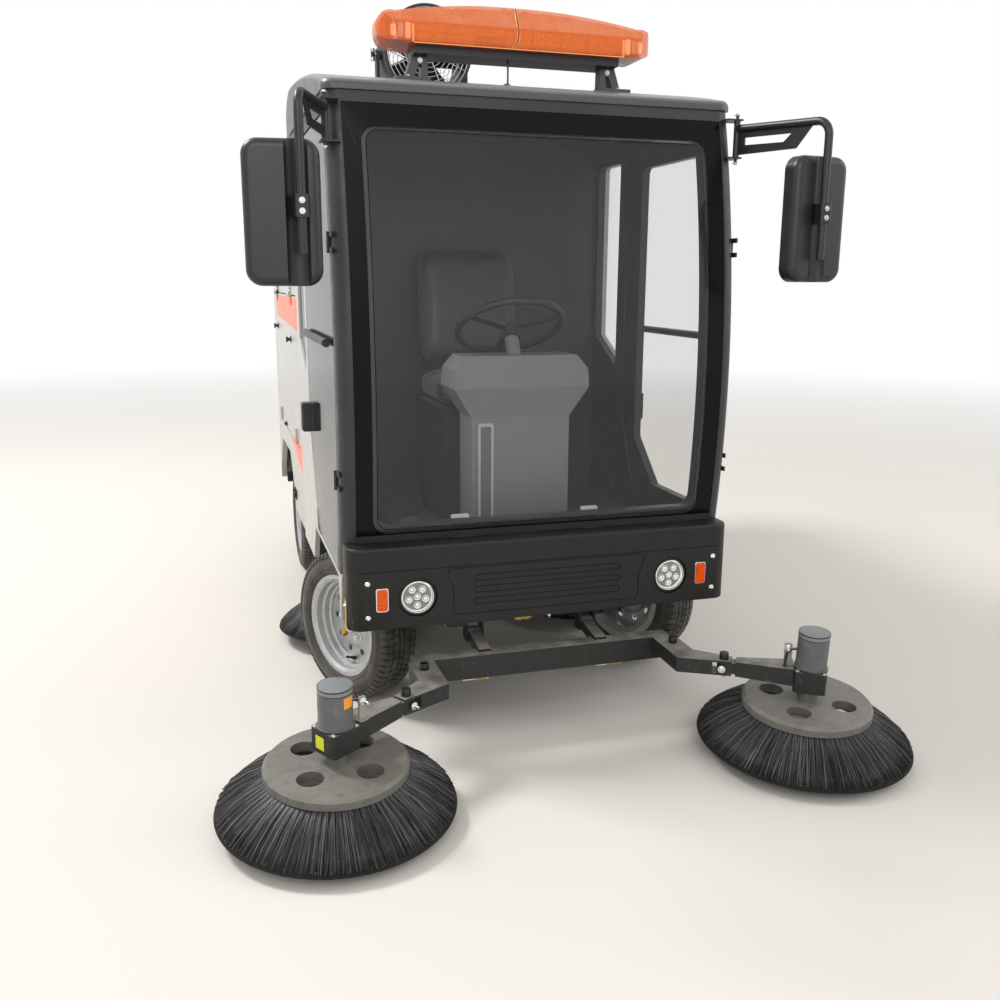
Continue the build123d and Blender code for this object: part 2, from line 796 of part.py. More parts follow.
def leaf_spring(side, y):
    """Three leaves with eyes and a clamp, under one rail."""
    x0 = side * rail_x - spring_w / 2
    x1 = side * rail_x + spring_w / 2
    low = spring_low_z + 2 * spring_t
    spring = None
    for share, drop in ((1.0, 0.0), (0.7, spring_t), (0.45, 2 * spring_t)):
        reach = spring_half * share
        rise = (spring_eye_z - low - spring_t / 2) * share ** 2
        top = ThreePointArc((y - reach, low - drop + rise + spring_t), (y, low - drop + spring_t),
                            (y + reach, low - drop + rise + spring_t))
        under = ThreePointArc((y + reach, low - drop + rise), (y, low - drop), (y - reach, low - drop + rise))
        face = make_face([top, Line(top @ 1, under @ 0), under, Line(under @ 1, top @ 0)])
        leaf = Pos(x0, 0, 0) * extrude(Plane.YZ * face, amount=x1 - x0, dir=(1, 0, 0))
        spring = leaf if spring is None else spring + leaf
    for way in (-1, 1):
        eye_y = y + way * spring_half
        spring += rod((x0, eye_y, spring_eye_z), (x1, eye_y, spring_eye_z), spring_eye_r)
    clamp = block(x0 - 5, x1 + 5, y - 34, y + 34, wheel_z + axle_h / 2 - weld, low + 2 * spring_t + 4)
    return spring + clamp


def build_axles():
    """Front axle with king pins, steering knuckles and rear axle."""
    y = front_axle_y
    half_d = axle_d / 2
    half_h = axle_h / 2
    axle = block(-kingpin_x + 70, kingpin_x - 70, y - half_d, y + half_d, wheel_z - half_h, wheel_z + half_h)
    half_yoke = yoke_h / 2
    for side in (-1, 1):
        pin_x = side * kingpin_x
        for z in (wheel_z - half_yoke, wheel_z + half_yoke - yoke_lug_t):
            axle += block(side * (kingpin_x - 72), pin_x, y - 23, y + 23, z, z + yoke_lug_t)
            axle += rod((pin_x, y, z), (pin_x, y, z + yoke_lug_t), 23)
        axle += block(side * (kingpin_x - 96), side * (kingpin_x - 62), y - 26, y + 26, wheel_z - half_yoke,
                      wheel_z + half_yoke)
        axle += rod((pin_x, y, wheel_z - half_yoke), (pin_x, y, wheel_z + half_yoke), kingpin_r)
        axle += leaf_spring(side, y)
    barrel_h = yoke_h - 2 * yoke_lug_t - 2
    for name, side in (("left", 1), ("right", -1)):
        turn = Pos(side * kingpin_x, y, wheel_z) * Rot(0, 0, steer_rest)
        reach = front_track_x - kingpin_x + spindle_reach
        knuckle = turn * Cylinder(24, barrel_h)
        knuckle += turn * rod((side * 18, 0, 0), (side * reach, 0, 0), spindle_r)
        knuckle += turn * rod((side * 30, 0, 0), (side * 48, 0, 0), brake_r)
        knuckle += turn * block(-14, 14, 16, 130, -14, 10)
        knuckle -= turn * Cylinder(kingpin_r + fit_gap, yoke_h)
        put("knuckle_" + name, knuckle)

    y = rear_axle_y
    end_x = rear_track_x - 30
    rear = rod((-end_x, y, wheel_z), (end_x, y, wheel_z), axle_tube_r)
    rear += Pos(diff_x, y, wheel_z) * Sphere(diff_r)
    rear += rod((diff_x, y, wheel_z), (diff_x, y - motor_case_len, wheel_z), motor_case_r)
    for side in (-1, 1):
        rear += rod((side * (rear_track_x - 62), y, wheel_z), (side * (rear_track_x - 38), y, wheel_z), brake_r)
        rear += rod((side * (end_x - 10), y, wheel_z), (side * (rear_track_x + spindle_reach), y, wheel_z), spindle_r)
        rear += leaf_spring(side, y)
    put("axles", axle, rear)


def build_chassis():
    """Two rails with cross members, outriggers and hangers."""
    frame = None
    half_w = rail_w / 2
    for side in (-1, 1):
        x = side * rail_x
        rail = block(x - half_w, x + half_w, rail_front_y, rail_rear_y, rail_z, rail_top_z)
        frame = rail if frame is None else frame + rail
    half_d = cross_d / 2
    for y in (rail_front_y + half_d, -130, 300, 830, 1350, rail_rear_y - half_d):
        frame += block(-rail_x, rail_x, y - half_d, y + half_d, rail_z + cross_inset, rail_top_z - cross_inset)
    half_r = rider_d / 2
    for side in (-1, 1):
        x = side * rail_x
        for y in (300, 1530):
            frame += block(x, side * (body_inner_x - fit_gap), y - half_r, y + half_r, rail_top_z - rider_h,
                           rail_top_z)
        for y in (rail_front_y + half_r, -60):
            frame += block(x, side * (cab_inner_x - fit_gap), y - half_r, y + half_r, rail_top_z - rider_h,
                           rail_top_z)
        for y in (rail_front_y + 2 * half_r, -60, 140):
            frame += block(x - half_r, x + half_r, y - half_r, y + half_r, rail_top_z - weld,
                           cab_floor_under_z - fit_gap)
        # spring hangers, open below, with the spring's eye between their cheeks
        for y in (front_axle_y, rear_axle_y):
            for way in (-1, 1):
                eye_y = y + way * spring_half
                for cheek in (-1, 1):
                    inner = x + cheek * (spring_w / 2 + fit_gap)
                    frame += block(inner, inner + cheek * 6, eye_y - 16, eye_y + 16, spring_eye_z - 14, rail_z + 20)
        frame += lift_bracket(side)
        frame += mid_bracket(side)
    plate = block(-40, 40, rail_rear_y - cross_d, tow_y + 30, rail_z - 6, rail_z + cross_inset)
    plate -= rod((0, tow_y, 0), (0, tow_y, rail_top_z), tow_hole_r)
    frame += plate
    put("chassis_frame", frame, roller_hood())


def lift_bracket(side):
    """Two cheeks with a pin that carry one eye of the brush beam."""
    x = side * link_x
    cheeks = rod((x - 34, lift_y, lift_z), (x + 34, lift_y, lift_z), lift_pin_r)
    for way in (-1, 1):
        inner = x + way * (22 + fit_gap)
        cheeks += block(inner, inner + way * 8, lift_y - 22, lift_y + 22, lift_z - 20, rail_top_z - 20)
    cheeks += block(x - 30, x + 30, rail_front_y + cross_d - weld, lift_y + 22, rail_z + 20, rail_top_z - 20)
    return cheeks


def mid_bracket(side):
    """Two cheeks with a pin that carry one mid brush arm."""
    x = side * (rail_x + mid_arm_w)
    z = mid_plate_z + 58
    cheeks = rod((x, mid_y - 52, z), (x, mid_y + 52, z), lift_pin_r)
    for way in (-1, 1):
        inner = mid_y + way * (mid_eye_half + fit_gap)
        cheeks += block(side * (rail_x - 20), x + side * 22, inner, inner + way * 8, z - 20, rail_z + 14)
    return cheeks


def build_rear_body():
    """Closed body with arches, service doors and rear door."""
    outer = block(-body_half_w, body_half_w, body_front_y, body_rear_y, body_base_z, body_top_z)
    uprights = outer.edges().filter_by(Axis.Z)
    outer = fillet([e for e in uprights if e.center().Y > rear_axle_y], body_rear_r)
    uprights = outer.edges().filter_by(Axis.Z)
    outer = fillet([e for e in uprights if e.center().Y < front_axle_y + body_rear_y / 2], body_front_r)
    outer = fillet([e for e in outer.edges() if e.center().Z > body_top_z - weld], body_front_r)
    inner = block(-body_inner_x, body_inner_x, body_front_y + body_wall, body_rear_y - body_wall, body_base_z - 5,
                  body_top_z - body_wall)
    uprights = inner.edges().filter_by(Axis.Z)
    inner = fillet([e for e in uprights if e.center().Y > rear_axle_y], body_rear_r - body_wall)
    shell = outer - inner
    side_x = body_half_w + run_gap
    arch_y0 = rear_axle_y - rear_arch_half
    arch_y1 = rear_axle_y + rear_arch_half - rear_arch_lead
    arch = [
        (arch_y0, body_base_z - 10),
        (arch_y0 + rear_arch_lead, rear_arch_low_z),
        (rear_axle_y - rear_arch_half / 2, rear_arch_top_z),
        (rear_axle_y + rear_arch_half / 2, rear_arch_top_z),
        (arch_y1 - rear_arch_lead, rear_arch_low_z),
        (arch_y1, body_base_z - 10),
    ]
    shell -= both_sides(round_edges(side_form(arch, rail_x, side_x), Axis.X, rear_arch_corner_r))
    leaf_form = block(body_half_w - service_thick, body_half_w, service_y0, service_y1, service_z0, service_z1)
    hole = block(body_inner_x - run_gap, side_x, service_y0 - run_gap, service_y1 + run_gap, service_z0 - run_gap,
                 service_z1 + run_gap)
    shell -= both_sides(hole)
    door_w = tail_door_half_w
    shell -= block(-door_w - run_gap, door_w + run_gap, body_rear_y - body_wall - 5, body_rear_y + 5,
                   tail_door_z0 - run_gap, tail_door_z1 + run_gap)
    # a tall opening in the front wall lets the chassis pass
    shell -= block(-body_inner_x, body_inner_x, body_front_y - 5, body_front_y + body_wall + 5, body_base_z - 5,
                   rail_top_z + run_gap)
    leaf = leaf_form
    for y in service_hinge_y:
        pin = (body_half_w + hinge_knuckle_r + hinge_lift, y, service_z1 + run_gap / 2)
        fixed, moving = hinge(pin, (0, 0, -1), (1, 0, 0), -weld, hinge_knuckle_r, hinge_len)
        shell = shell + fixed + flip(fixed)
        leaf += moving
    for y in service_latch_y:
        leaf += block(body_half_w - weld, body_half_w + 12, y - 16, y + 16, service_z0 + 6, service_z0 + 70)
    put("service_door_left", leaf)
    put("service_door_right", flip(leaf))

    rear = block(-door_w, door_w, body_rear_y - service_thick, body_rear_y, tail_door_z0, tail_door_z1)
    for z in tail_hinge_z:
        pin = (door_w + run_gap / 2, body_rear_y + hinge_knuckle_r + hinge_lift, z)
        fixed, moving = hinge(pin, (-1, 0, 0), (0, 1, 0), -weld, hinge_knuckle_r, hinge_len)
        shell += fixed
        rear += moving
    handle_x = -door_w + 60
    rear += block(handle_x - 20, handle_x + 20, body_rear_y - weld, body_rear_y + 14, 1040, 1200)
    put("rear_door", rear)
    put("rear_body", shell)

    lamps = []
    for side in (-1, 1):
        x = side * (tail_door_half_w + 62)
        lens = block(x - 30, x + 30, body_rear_y + fit_gap, body_rear_y + 22, 700, 860)
        lamps.append(fillet(lens.faces().sort_by(Axis.Y)[-1].edges(), 6))
    put("tail_lamps", *lamps)
    bumper = block(-600, 600, body_rear_y + fit_gap, tail_y, body_base_z, body_base_z + 80)
    put("rear_bumper", fillet(bumper.faces().sort_by(Axis.Y)[-1].edges(), 8))
    seat_z = rail_top_z + fit_gap
    put("battery_pack", round_edges(block(-400, 400, 300, 860, seat_z, seat_z + 330), Axis.Z, 20))
    put("waste_bin", round_edges(block(-400, 400, 950, 1580, seat_z, 1180), Axis.Z, 30))


def build_brush_gear():
    """Lift beam with knee arms, gear motors, plates and bristle rings."""
    half_h = beam_h / 2
    front = beam_y - beam_d / 2
    beam = block(-beam_half_w, beam_half_w, front, beam_y + beam_d / 2, beam_z - half_h, beam_z + half_h)
    elbow = Vector(elbow_x, elbow_y, arm_z)
    way = (Vector(brush_x, brush_y, arm_z) - elbow).normalized()
    across = Vector(-way.Y, way.X, 0)
    tip_back = elbow + way * fork_reach + across * (arm_w / 2)
    tip_front = elbow + way * fork_reach - across * (arm_w / 2)
    knee = flat_form([
        (knee_x - 44, front + weld), (knee_x + 36, front + weld), (knee_x + 34, knee_y - 76),
        (tip_back.X, tip_back.Y), (tip_front.X, tip_front.Y), (knee_x - 47, knee_y - 126),
    ], arm_top_z - arm_h, arm_top_z)
    slot = bar(elbow - way * fork_room, elbow + way * 2 * fork_room, 4 * arm_w, arm_h - 2 * fork_t)
    knee -= slot
    knee += rod((elbow_x, elbow_y, arm_top_z - arm_h), (elbow_x, elbow_y, arm_top_z), elbow_pin_r)
    for x, y in ((elbow_x, elbow_y), (knee_x, knee_y)):
        knee += rod((x, y, arm_top_z - weld), (x, y, arm_top_z + bolt_head_h), bolt_head_r)
    link_top = (link_x, beam_y, lift_z - 20)
    link = bar(link_top, (link_x, lift_y, lift_z), 40, 34)
    link += rod((link_x - 22, lift_y, lift_z), (link_x + 22, lift_y, lift_z), lift_eye_r)
    link -= rod((link_x - 40, lift_y, lift_z), (link_x + 40, lift_y, lift_z), lift_pin_r + fit_gap)
    put("brush_beam", beam + knee + flip(knee) + link + flip(link))

    start = elbow + way * (fork_reach + 12)
    reach = (Vector(brush_x, brush_y, arm_z) - start).length
    near = Plane(origin=start, x_dir=across, z_dir=way)
    axis = Pos(brush_x, brush_y, brush_plate_z) * Rot(brush_tilt, 0, 0)
    box_z = gearbox_z + gearbox_h / 2
    arm = loft([
        near * Rectangle(arm_w, arm_h),
        near * Pos(0, 0, reach - gearbox_w / 2) * Rectangle(gearbox_w - 6, arm_h + 6),
    ])
    arm += bar(elbow, start + way * 4, arm_w - 4, arm_h - 2 * fork_t - 2 * fit_gap)
    tongue_h = arm_h - 2 * fork_t - 2 * fit_gap
    arm += Pos(elbow_x, elbow_y, arm_z) * Cylinder(arm_w / 2 - 2, tongue_h)
    arm -= Pos(elbow_x, elbow_y, arm_z) * Cylinder(elbow_pin_r + fit_gap, 2 * arm_h)
    turn = math.degrees(math.atan2(way.Y, way.X))
    case = axis * Rot(0, 0, turn) * Pos(0, 0, box_z) * Box(gearbox_w, gearbox_w, gearbox_h)
    arm += round_edges_upright(case)
    motor_z = gearbox_z + gearbox_h
    arm += axis * Pos(0, 0, motor_z + motor_h / 2) * Cylinder(motor_r, motor_h)
    arm += axis * Pos(0, 0, motor_z + motor_h - 2) * Cylinder(motor_r + 2, 4)
    arm += axis * Pos(0, 0, motor_z + 3) * Cylinder(motor_r + 6, 6)
    lead = [
        (-motor_r + 6, 0, motor_z + 60), (-motor_r - 30, 0, motor_z + 62), (-motor_r - 36, 0, motor_z - 24),
        (-motor_r + 6, 0, motor_z - 22)]
    arm += axis * Rot(0, 0, lead_turn) * tube_along(lead, 24, lead_r)

    plate = Cylinder(brush_plate_r, brush_plate_h)
    plate = chamfer(plate.faces().sort_by(Axis.Z)[-1].edges(), brush_bevel)
    for k in range(4):
        plate -= Rot(0, 0, 45 + 90 * k) * Pos(brush_hole_at, 0, 0) * Cylinder(brush_hole_r, 2 * brush_plate_h)
    plate = axis * Pos(0, 0, -brush_plate_h / 2) * plate
    plate += axis * Pos(0, 0, gearbox_z / 2 - fit_gap) * Cylinder(30, gearbox_z)
    ring = axis * Pos(0, 0, -brush_plate_h - fit_gap) * revolve(Plane.XZ * Polygon(
        (brush_plate_r - 66, 0), (brush_plate_r - 6, 0), (brush_ring_r, brush_plate_h - brush_drop),
        (brush_ring_r - brush_ring_band, brush_plate_h - brush_drop), align=None), axis=Axis.Z)

    mid = Pos(mid_x, mid_y, mid_plate_z)
    disc = mid * Pos(0, 0, -mid_plate_h / 2) * Cylinder(mid_plate_r, mid_plate_h)
    disc += mid * Pos(0, 0, run_gap / 2 - fit_gap) * Cylinder(26, run_gap)
    disc += mid * Pos(0, 0, -mid_plate_h) * revolve(Plane.XZ * Polygon(
        (mid_plate_r - 60, weld), (mid_plate_r - 6, weld), (mid_ring_r, mid_plate_h - mid_drop),
        (mid_ring_r - mid_ring_band, mid_plate_h - mid_drop), align=None), axis=Axis.Z)
    eye_x = rail_x + mid_arm_w
    arm_mid_z = mid_plate_z + 58
    gear = mid * Pos(0, 0, run_gap + mid_gear_h / 2) * Box(mid_gear_w, mid_gear_w, mid_gear_h)
    gear += mid * Pos(0, 0, run_gap + mid_gear_h + 36) * Cylinder(36, 74)
    gear += bar((mid_x, mid_y, arm_mid_z), (eye_x, mid_y, arm_mid_z), mid_arm_w, mid_arm_h)
    gear += rod((eye_x, mid_y - mid_eye_half, arm_mid_z), (eye_x, mid_y + mid_eye_half, arm_mid_z), mid_eye_r)
    gear -= rod((eye_x, mid_y - 60, arm_mid_z), (eye_x, mid_y + 60, arm_mid_z), lift_pin_r + fit_gap)
    for name, turned in (("left", False), ("right", True)):
        put("front_arm_" + name, flip(arm) if turned else arm)
        put("brush_plate_" + name, flip(plate) if turned else plate)
        put("bristles_" + name, flip(ring) if turned else ring)
        put("mid_brush_" + name, flip(disc) if turned else disc)
        put("mid_arm_" + name, flip(gear) if turned else gear)


def round_edges_upright(case):
    """Round the four standing edges of the tilted gear case."""
    standing = case.edges().filter_by(lambda e: e.bounding_box().size.Z > gearbox_h / 2)
    return fillet(standing, 8)


def build_roller():
    """Roller brush across the machine with its shaft."""
    roller = rod((-roller_half_w, roller_y, roller_z), (roller_half_w, roller_y, roller_z), roller_r)
    end = roller_half_w + hood_room + hood_wall
    roller += rod((-end, roller_y, roller_z), (end, roller_y, roller_z), roller_shaft_r)
    put("roller_brush", roller)


def roller_hood():
    """Box around the roller, open below, with the shaft's bearings."""
    inner = roller_half_w + hood_room
    outer = inner + hood_wall
    depth = roller_r + hood_room
    hood = block(-outer, outer, roller_y - depth - hood_wall, roller_y + depth + hood_wall, hood_base_z,
                 rail_z - fit_gap)
    hood -= block(-inner, inner, roller_y - depth, roller_y + depth, hood_base_z - 5, rail_z - hood_wall)
    return hood - rod((-outer - 5, roller_y, roller_z), (outer + 5, roller_y, roller_z), roller_shaft_r + fit_gap)


def build_light_bar():
    """Amber light bar on two splayed feet."""
    half = bar_depth / 2
    base = block(-bar_base_half_w, bar_base_half_w, bar_y - half + 25, bar_y + half - 25, bar_base_z,
                 bar_base_z + bar_base_h)
    front = Plane(origin=(0, bar_y + foot_d / 2, 0), x_dir=(1, 0, 0), z_dir=(0, -1, 0))
    low = roof_mid_z - 2 * foot_half
    for side in (-1, 1):
        mid = side * (foot_x - 24)
        outline = Polygon((mid - 24, bar_base_z + weld), (mid + 24, bar_base_z + weld),
                          (side * foot_x + foot_half, low), (side * foot_x - foot_half, low), align=None)
        hole = Polygon((mid - 6, bar_base_z - 26), (mid + 6, bar_base_z - 26), (side * foot_x + 22, low - 5),
                       (side * foot_x - 22, low - 5), align=None)
        foot = extrude(front * (outline - hole), amount=foot_d, dir=(0, -1, 0))
        base += foot
        base += block(side * foot_x - foot_half - 6, side * foot_x + foot_half + 6, bar_y - 34, bar_y + 34, low,
                      roof_mid_z - foot_drop)
    base += tube_along([
        (bar_lead_x, bar_y - 20, bar_base_z + weld), (bar_lead_x, bar_y - 23, bar_base_z - 30),
        (bar_lead_x, bar_y - 20, roof_mid_z - 60)], 40, bar_lead_r)
    base -= Pos(0, 0, fit_gap) * roof_form(0)
    put("light_bar_base", max(base.solids(), key=lambda s: s.volume))

    deck = bar_base_z + bar_base_h + fit_gap
    end = bar_half_w
    brow = bar_crown_z - bar_brow
    outline = make_face([
        Line((-bar_base_half_w, deck), (bar_base_half_w, deck)),
        Line((bar_base_half_w, deck), (end - 55, deck + 7)),
        ThreePointArc((end - 55, deck + 7), (end, (deck + brow) / 2), (end - 55, brow)),
        ThreePointArc((end - 55, brow), (0, bar_crown_z), (55 - end, brow)),
        ThreePointArc((55 - end, brow), (-end, (deck + brow) / 2), (55 - end, deck + 7)),
        Line((55 - end, deck + 7), (-bar_base_half_w, deck)),
    ])
    side = Plane(origin=(0, bar_y + half, 0), x_dir=(1, 0, 0), z_dir=(0, -1, 0))
    lens = extrude(side * outline, amount=bar_depth, dir=(0, -1, 0))
    plan = round_edges(block(-end, end, bar_y - half, bar_y + half, bar_base_z, bar_crown_z + 5), Axis.Z, bar_plan_r)
    ridge = deck + bar_ridge_h
    top_half = half - bar_slope
    slope = [
        (bar_y - half, deck - 5), (bar_y - half + 4, ridge), (bar_y - top_half, bar_crown_z + 1),
        (bar_y + top_half, bar_crown_z + 1), (bar_y + half - 4, ridge), (bar_y + half, deck - 5),
    ]
    section = round_edges(side_form(slope, -end, end), Axis.X, bar_edge_r)
    put("light_bar_lens", lens & plan & section)


def build_fan():
    """Mist fan: drum with a front lip, motor, rotor and a yoke with knobs."""
    y0 = fan_y - fan_len / 2
    y1 = fan_y + fan_len / 2
    drum = rod((fan_x, y0, fan_z), (fan_x, y1, fan_z), fan_r)
    drum += rod((fan_x, y0, fan_z), (fan_x, y0 + 14, fan_z), fan_lip_r)
    drum -= rod((fan_x, y0 - 5, fan_z), (fan_x, y1 + 5, fan_z), fan_r - fan_wall)
    motor_y = y1 - 70
    drum += rod((fan_x, motor_y, fan_z), (fan_x, y1 - 12, fan_z), 52)
    for turn in (45, 135):
        bar_form = block(-fan_r + fan_wall / 2, fan_r - fan_wall / 2, y1 - 40, y1 - 30, -8, 8)
        drum += Pos(fan_x, 0, fan_z) * Rot(0, turn, 0) * bar_form
    shaft_r = 9
    drum += rod((fan_x, motor_y - 40, fan_z), (fan_x, motor_y + weld, fan_z), shaft_r)
    for side in (-1, 1):
        inner = fan_x + side * (fan_r - fan_wall / 2)
        drum += rod((inner, fan_y, fan_z), (fan_x + side * (fan_r + yoke_gap - fit_gap), fan_y, fan_z), 18)
    drum -= rod((fan_x - 2 * fan_r, fan_y, fan_z), (fan_x - fan_r + fan_wall, fan_y, fan_z), 8 + fit_gap)
    drum -= rod((fan_x + fan_r - fan_wall, fan_y, fan_z), (fan_x + 2 * fan_r, fan_y, fan_z), 8 + fit_gap)
    put("fan_drum", drum)

    rotor = rod((fan_x, motor_y - 58, fan_z), (fan_x, motor_y - 6, fan_z), fan_hub_r)
    tip = fan_r - fan_wall - 8
    for i in range(fan_blades):
        blade = Pos(0, motor_y - 32, 0) * Rot(0, 360 * i / fan_blades, 0)
        blade = blade * Pos((fan_hub_r + tip) / 2 - 3, 0, 0) * Rot(32, 0, 0) * Box(tip - fan_hub_r + 6, 4, 62)
        rotor += Pos(fan_x, 0, fan_z) * blade
    rotor -= rod((fan_x, motor_y - 41, fan_z), (fan_x, motor_y, fan_z), shaft_r + fit_gap)
    put("fan_rotor", rotor)

    half_d = yoke_d / 2
    inner = fan_r + yoke_gap
    base_z = body_top_z + fit_gap
    yoke = block(fan_x - inner - yoke_t, fan_x + inner + yoke_t, fan_y - half_d, fan_y + half_d, base_z,
                 base_z + yoke_t)
    for side in (-1, 1):
        x0 = fan_x + side * inner
        x1 = fan_x + side * (inner + yoke_t)
        yoke += block(x0, x1, fan_y - half_d, fan_y + half_d, base_z, fan_z)
        yoke += rod((x0, fan_y, fan_z), (x1, fan_y, fan_z), half_d)
        yoke += rod((fan_x + side * (fan_r + 2), fan_y, fan_z), (x1 + side * 14, fan_y, fan_z), 8)
        yoke += rod((x1 + side * 12, fan_y, fan_z - 22), (x1 + side * 12, fan_y, fan_z + 22), 7)
    put("fan_yoke", yoke)


def build_mirrors():
    """Hinged tube arms with bracket plates, shells and glasses."""
    pin = Vector(mirror_pin_x, mirror_pin_y, 0)
    drop = Vector(mirror_tube_x, mirror_tube_y, 0)
    run = (drop - pin).normalized()
    reach = (drop - pin).length
    start = pin + run * 6
    tube = tube_along([
        (start.X, start.Y, mirror_tube_z + 14), (mirror_tube_x, mirror_tube_y, mirror_tube_z),
        (mirror_tube_x, mirror_tube_y, mirror_tube_end_z)], 44, mirror_tube_r)
    low = mirror_lug_z[0] + mirror_lug_t / 2 + fit_gap
    high = mirror_lug_z[1] - mirror_lug_t / 2 - fit_gap
    wall = Plane(origin=pin, x_dir=run, z_dir=run.cross(Vector(0, 0, 1)))
    outline = Polygon((4, low + 6), (reach * 0.67, low + 4), (reach * 0.84, mirror_tube_z - 4), (4, mirror_tube_z + 12),
                      align=None)
    slot = Polygon((36, 1874), (192, 1868), (221, 1890), (36, 1896), align=None)
    arm = tube + extrude(wall * (outline - slot), amount=2.5, both=True)
    arm += rod((mirror_pin_x, mirror_pin_y, low), (mirror_pin_x, mirror_pin_y, high), 10)
    arm -= rod((mirror_pin_x, mirror_pin_y, low - 5), (mirror_pin_x, mirror_pin_y, high + 5), 5 + fit_gap)
    for name, side, x, z in mirror_places:
        place = Pos(x, mirror_y, z) * Rot(0, 0, mirror_toe)
        shell = round_edges(Box(mirror_w, mirror_d, mirror_h), Axis.Y, mirror_corner_r)
        shell = fillet(shell.faces().sort_by(Axis.Y)[0].edges(), mirror_back_r)
        groove_x = mirror_tube_x - x + 4
        groove_y = -mirror_d / 2 - 12
        shell -= rod((groove_x, groove_y, -mirror_h), (groove_x, groove_y, mirror_h), mirror_groove_r)
        face_y = mirror_d / 2
        half_w = mirror_w / 2 - mirror_lip
        half_h = mirror_h / 2 - mirror_lip
        seat = block(-half_w, half_w, face_y - 7, face_y + 5, -half_h, half_h)
        shell -= round_edges(seat, Axis.Y, mirror_corner_r - mirror_lip)
        clamp = block(mirror_tube_x - 17, mirror_tube_x + 17, mirror_tube_y - 17, mirror_y - 4, z - 12, z + 44)
        whole = arm + place * shell + round_edges(clamp, Axis.Z, 6)
        half_w -= fit_gap
        half_h -= fit_gap
        glass = block(-half_w, half_w, face_y - 7 + fit_gap, face_y - 3, -half_h, half_h)
        glass = place * round_edges(glass, Axis.Y, mirror_corner_r - mirror_lip - fit_gap)
        put("mirror_" + name, whole if side > 0 else flip(whole))
        put("mirror_glass_" + name, glass if side > 0 else flip(glass))


build_cab()
build_roof()
build_doors()
build_bumper()
build_interior()
build_wheels()
build_axles()
build_chassis()
build_rear_body()
build_brush_gear()
build_roller()
build_light_bar()
build_fan()
build_mirrors()

for name, solids in parts.items():
    shape = solids[0] if len(solids) == 1 else Compound(children=solids)
    export_step(shape, "parts/" + name + ".step")
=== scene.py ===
import bmesh
import bpy
import json
import math
import random
from mathutils import Matrix, Vector


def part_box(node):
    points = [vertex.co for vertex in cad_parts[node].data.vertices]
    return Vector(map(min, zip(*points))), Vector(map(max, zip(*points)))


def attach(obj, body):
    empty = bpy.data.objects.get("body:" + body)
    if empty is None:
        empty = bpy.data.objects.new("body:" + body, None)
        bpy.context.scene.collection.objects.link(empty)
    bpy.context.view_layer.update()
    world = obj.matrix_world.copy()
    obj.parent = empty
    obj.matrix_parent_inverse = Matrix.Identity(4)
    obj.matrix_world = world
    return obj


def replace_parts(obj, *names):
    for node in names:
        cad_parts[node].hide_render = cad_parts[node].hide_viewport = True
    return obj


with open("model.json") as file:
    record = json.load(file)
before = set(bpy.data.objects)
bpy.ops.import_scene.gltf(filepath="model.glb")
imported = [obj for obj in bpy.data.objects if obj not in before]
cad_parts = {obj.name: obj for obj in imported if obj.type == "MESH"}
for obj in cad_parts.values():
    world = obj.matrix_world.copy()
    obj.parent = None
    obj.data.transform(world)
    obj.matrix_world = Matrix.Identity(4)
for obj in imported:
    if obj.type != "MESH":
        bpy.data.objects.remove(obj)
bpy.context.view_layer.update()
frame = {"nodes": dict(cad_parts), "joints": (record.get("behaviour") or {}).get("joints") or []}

bl_info = {
    "name": "Road Sweeper Dressing",
    "version": (1, 0, 0),
    "blender": (4, 5, 0),
    "location": "View3D > Sidebar > Sweeper",
    "description": "Gives the packed road sweeper its finishes, small fittings, studio and camera",
    "category": "Object",
}

NODES = frame["nodes"]
MM = 0.001
ROUND = 2 * math.pi
SIDES = (("left", 1), ("right", -1))
AHEAD, UP = (0, -1, 0), (0, 0, 1)
# Where the machine's own faces stand: the body's outer sheet from the middle, the arc of the cab
# front with its centre, the tyre's tread, the light bar's middle line and its lens's crown.
FLANK_X = 0.632
ARC_R, ARC_Y, ARC_Z = 3.156, 2.2145, 1.144
TYRE_R = 0.266
BAR_Y, BAR_TOP_Z = -0.570, 2.291
# Profiles that close on their axis end at this radius, so that no face has two points in one place.
TIP = 0.1 * MM


# Colours and nodes


def linear(value):
    """Linear red, green and blue from an sRGB hex value."""
    steps = [int(value[i:i + 2], 16) / 255 for i in (1, 3, 5)]
    return tuple(s / 12.92 if s <= 0.04045 else ((s + 0.055) / 1.055) ** 2.4 for s in steps)


def opaque(value):
    """The same with full opacity, from a hex value or from a colour property."""
    return (*(linear(value) if isinstance(value, str) else value), 1.0)


def add(tree, kind, inputs=None, links=None, **settings):
    """Adds one node with its settings, input values and incoming links."""
    node = tree.nodes.new(kind)
    for key, value in settings.items():
        setattr(node, key, value)
    for key, value in (inputs or {}).items():
        node.inputs[key].default_value = value
    for key, source in (links or {}).items():
        tree.links.new(source, node.inputs[key])
    return node


def material(name, base, roughness, metallic=0.0, **extra):
    """A material with one principled shader, returned with its tree and shader."""
    mat = bpy.data.materials.new(name)
    mat.use_nodes = True
    tree = mat.node_tree
    shader = tree.nodes["Principled BSDF"]
    shader.inputs["Base Color"].default_value = opaque(base)
    shader.inputs["Roughness"].default_value = roughness
    shader.inputs["Metallic"].default_value = metallic
    for key, value in extra.items():
        shader.inputs[key.replace("_", " ")].default_value = value
    return mat, tree, shader


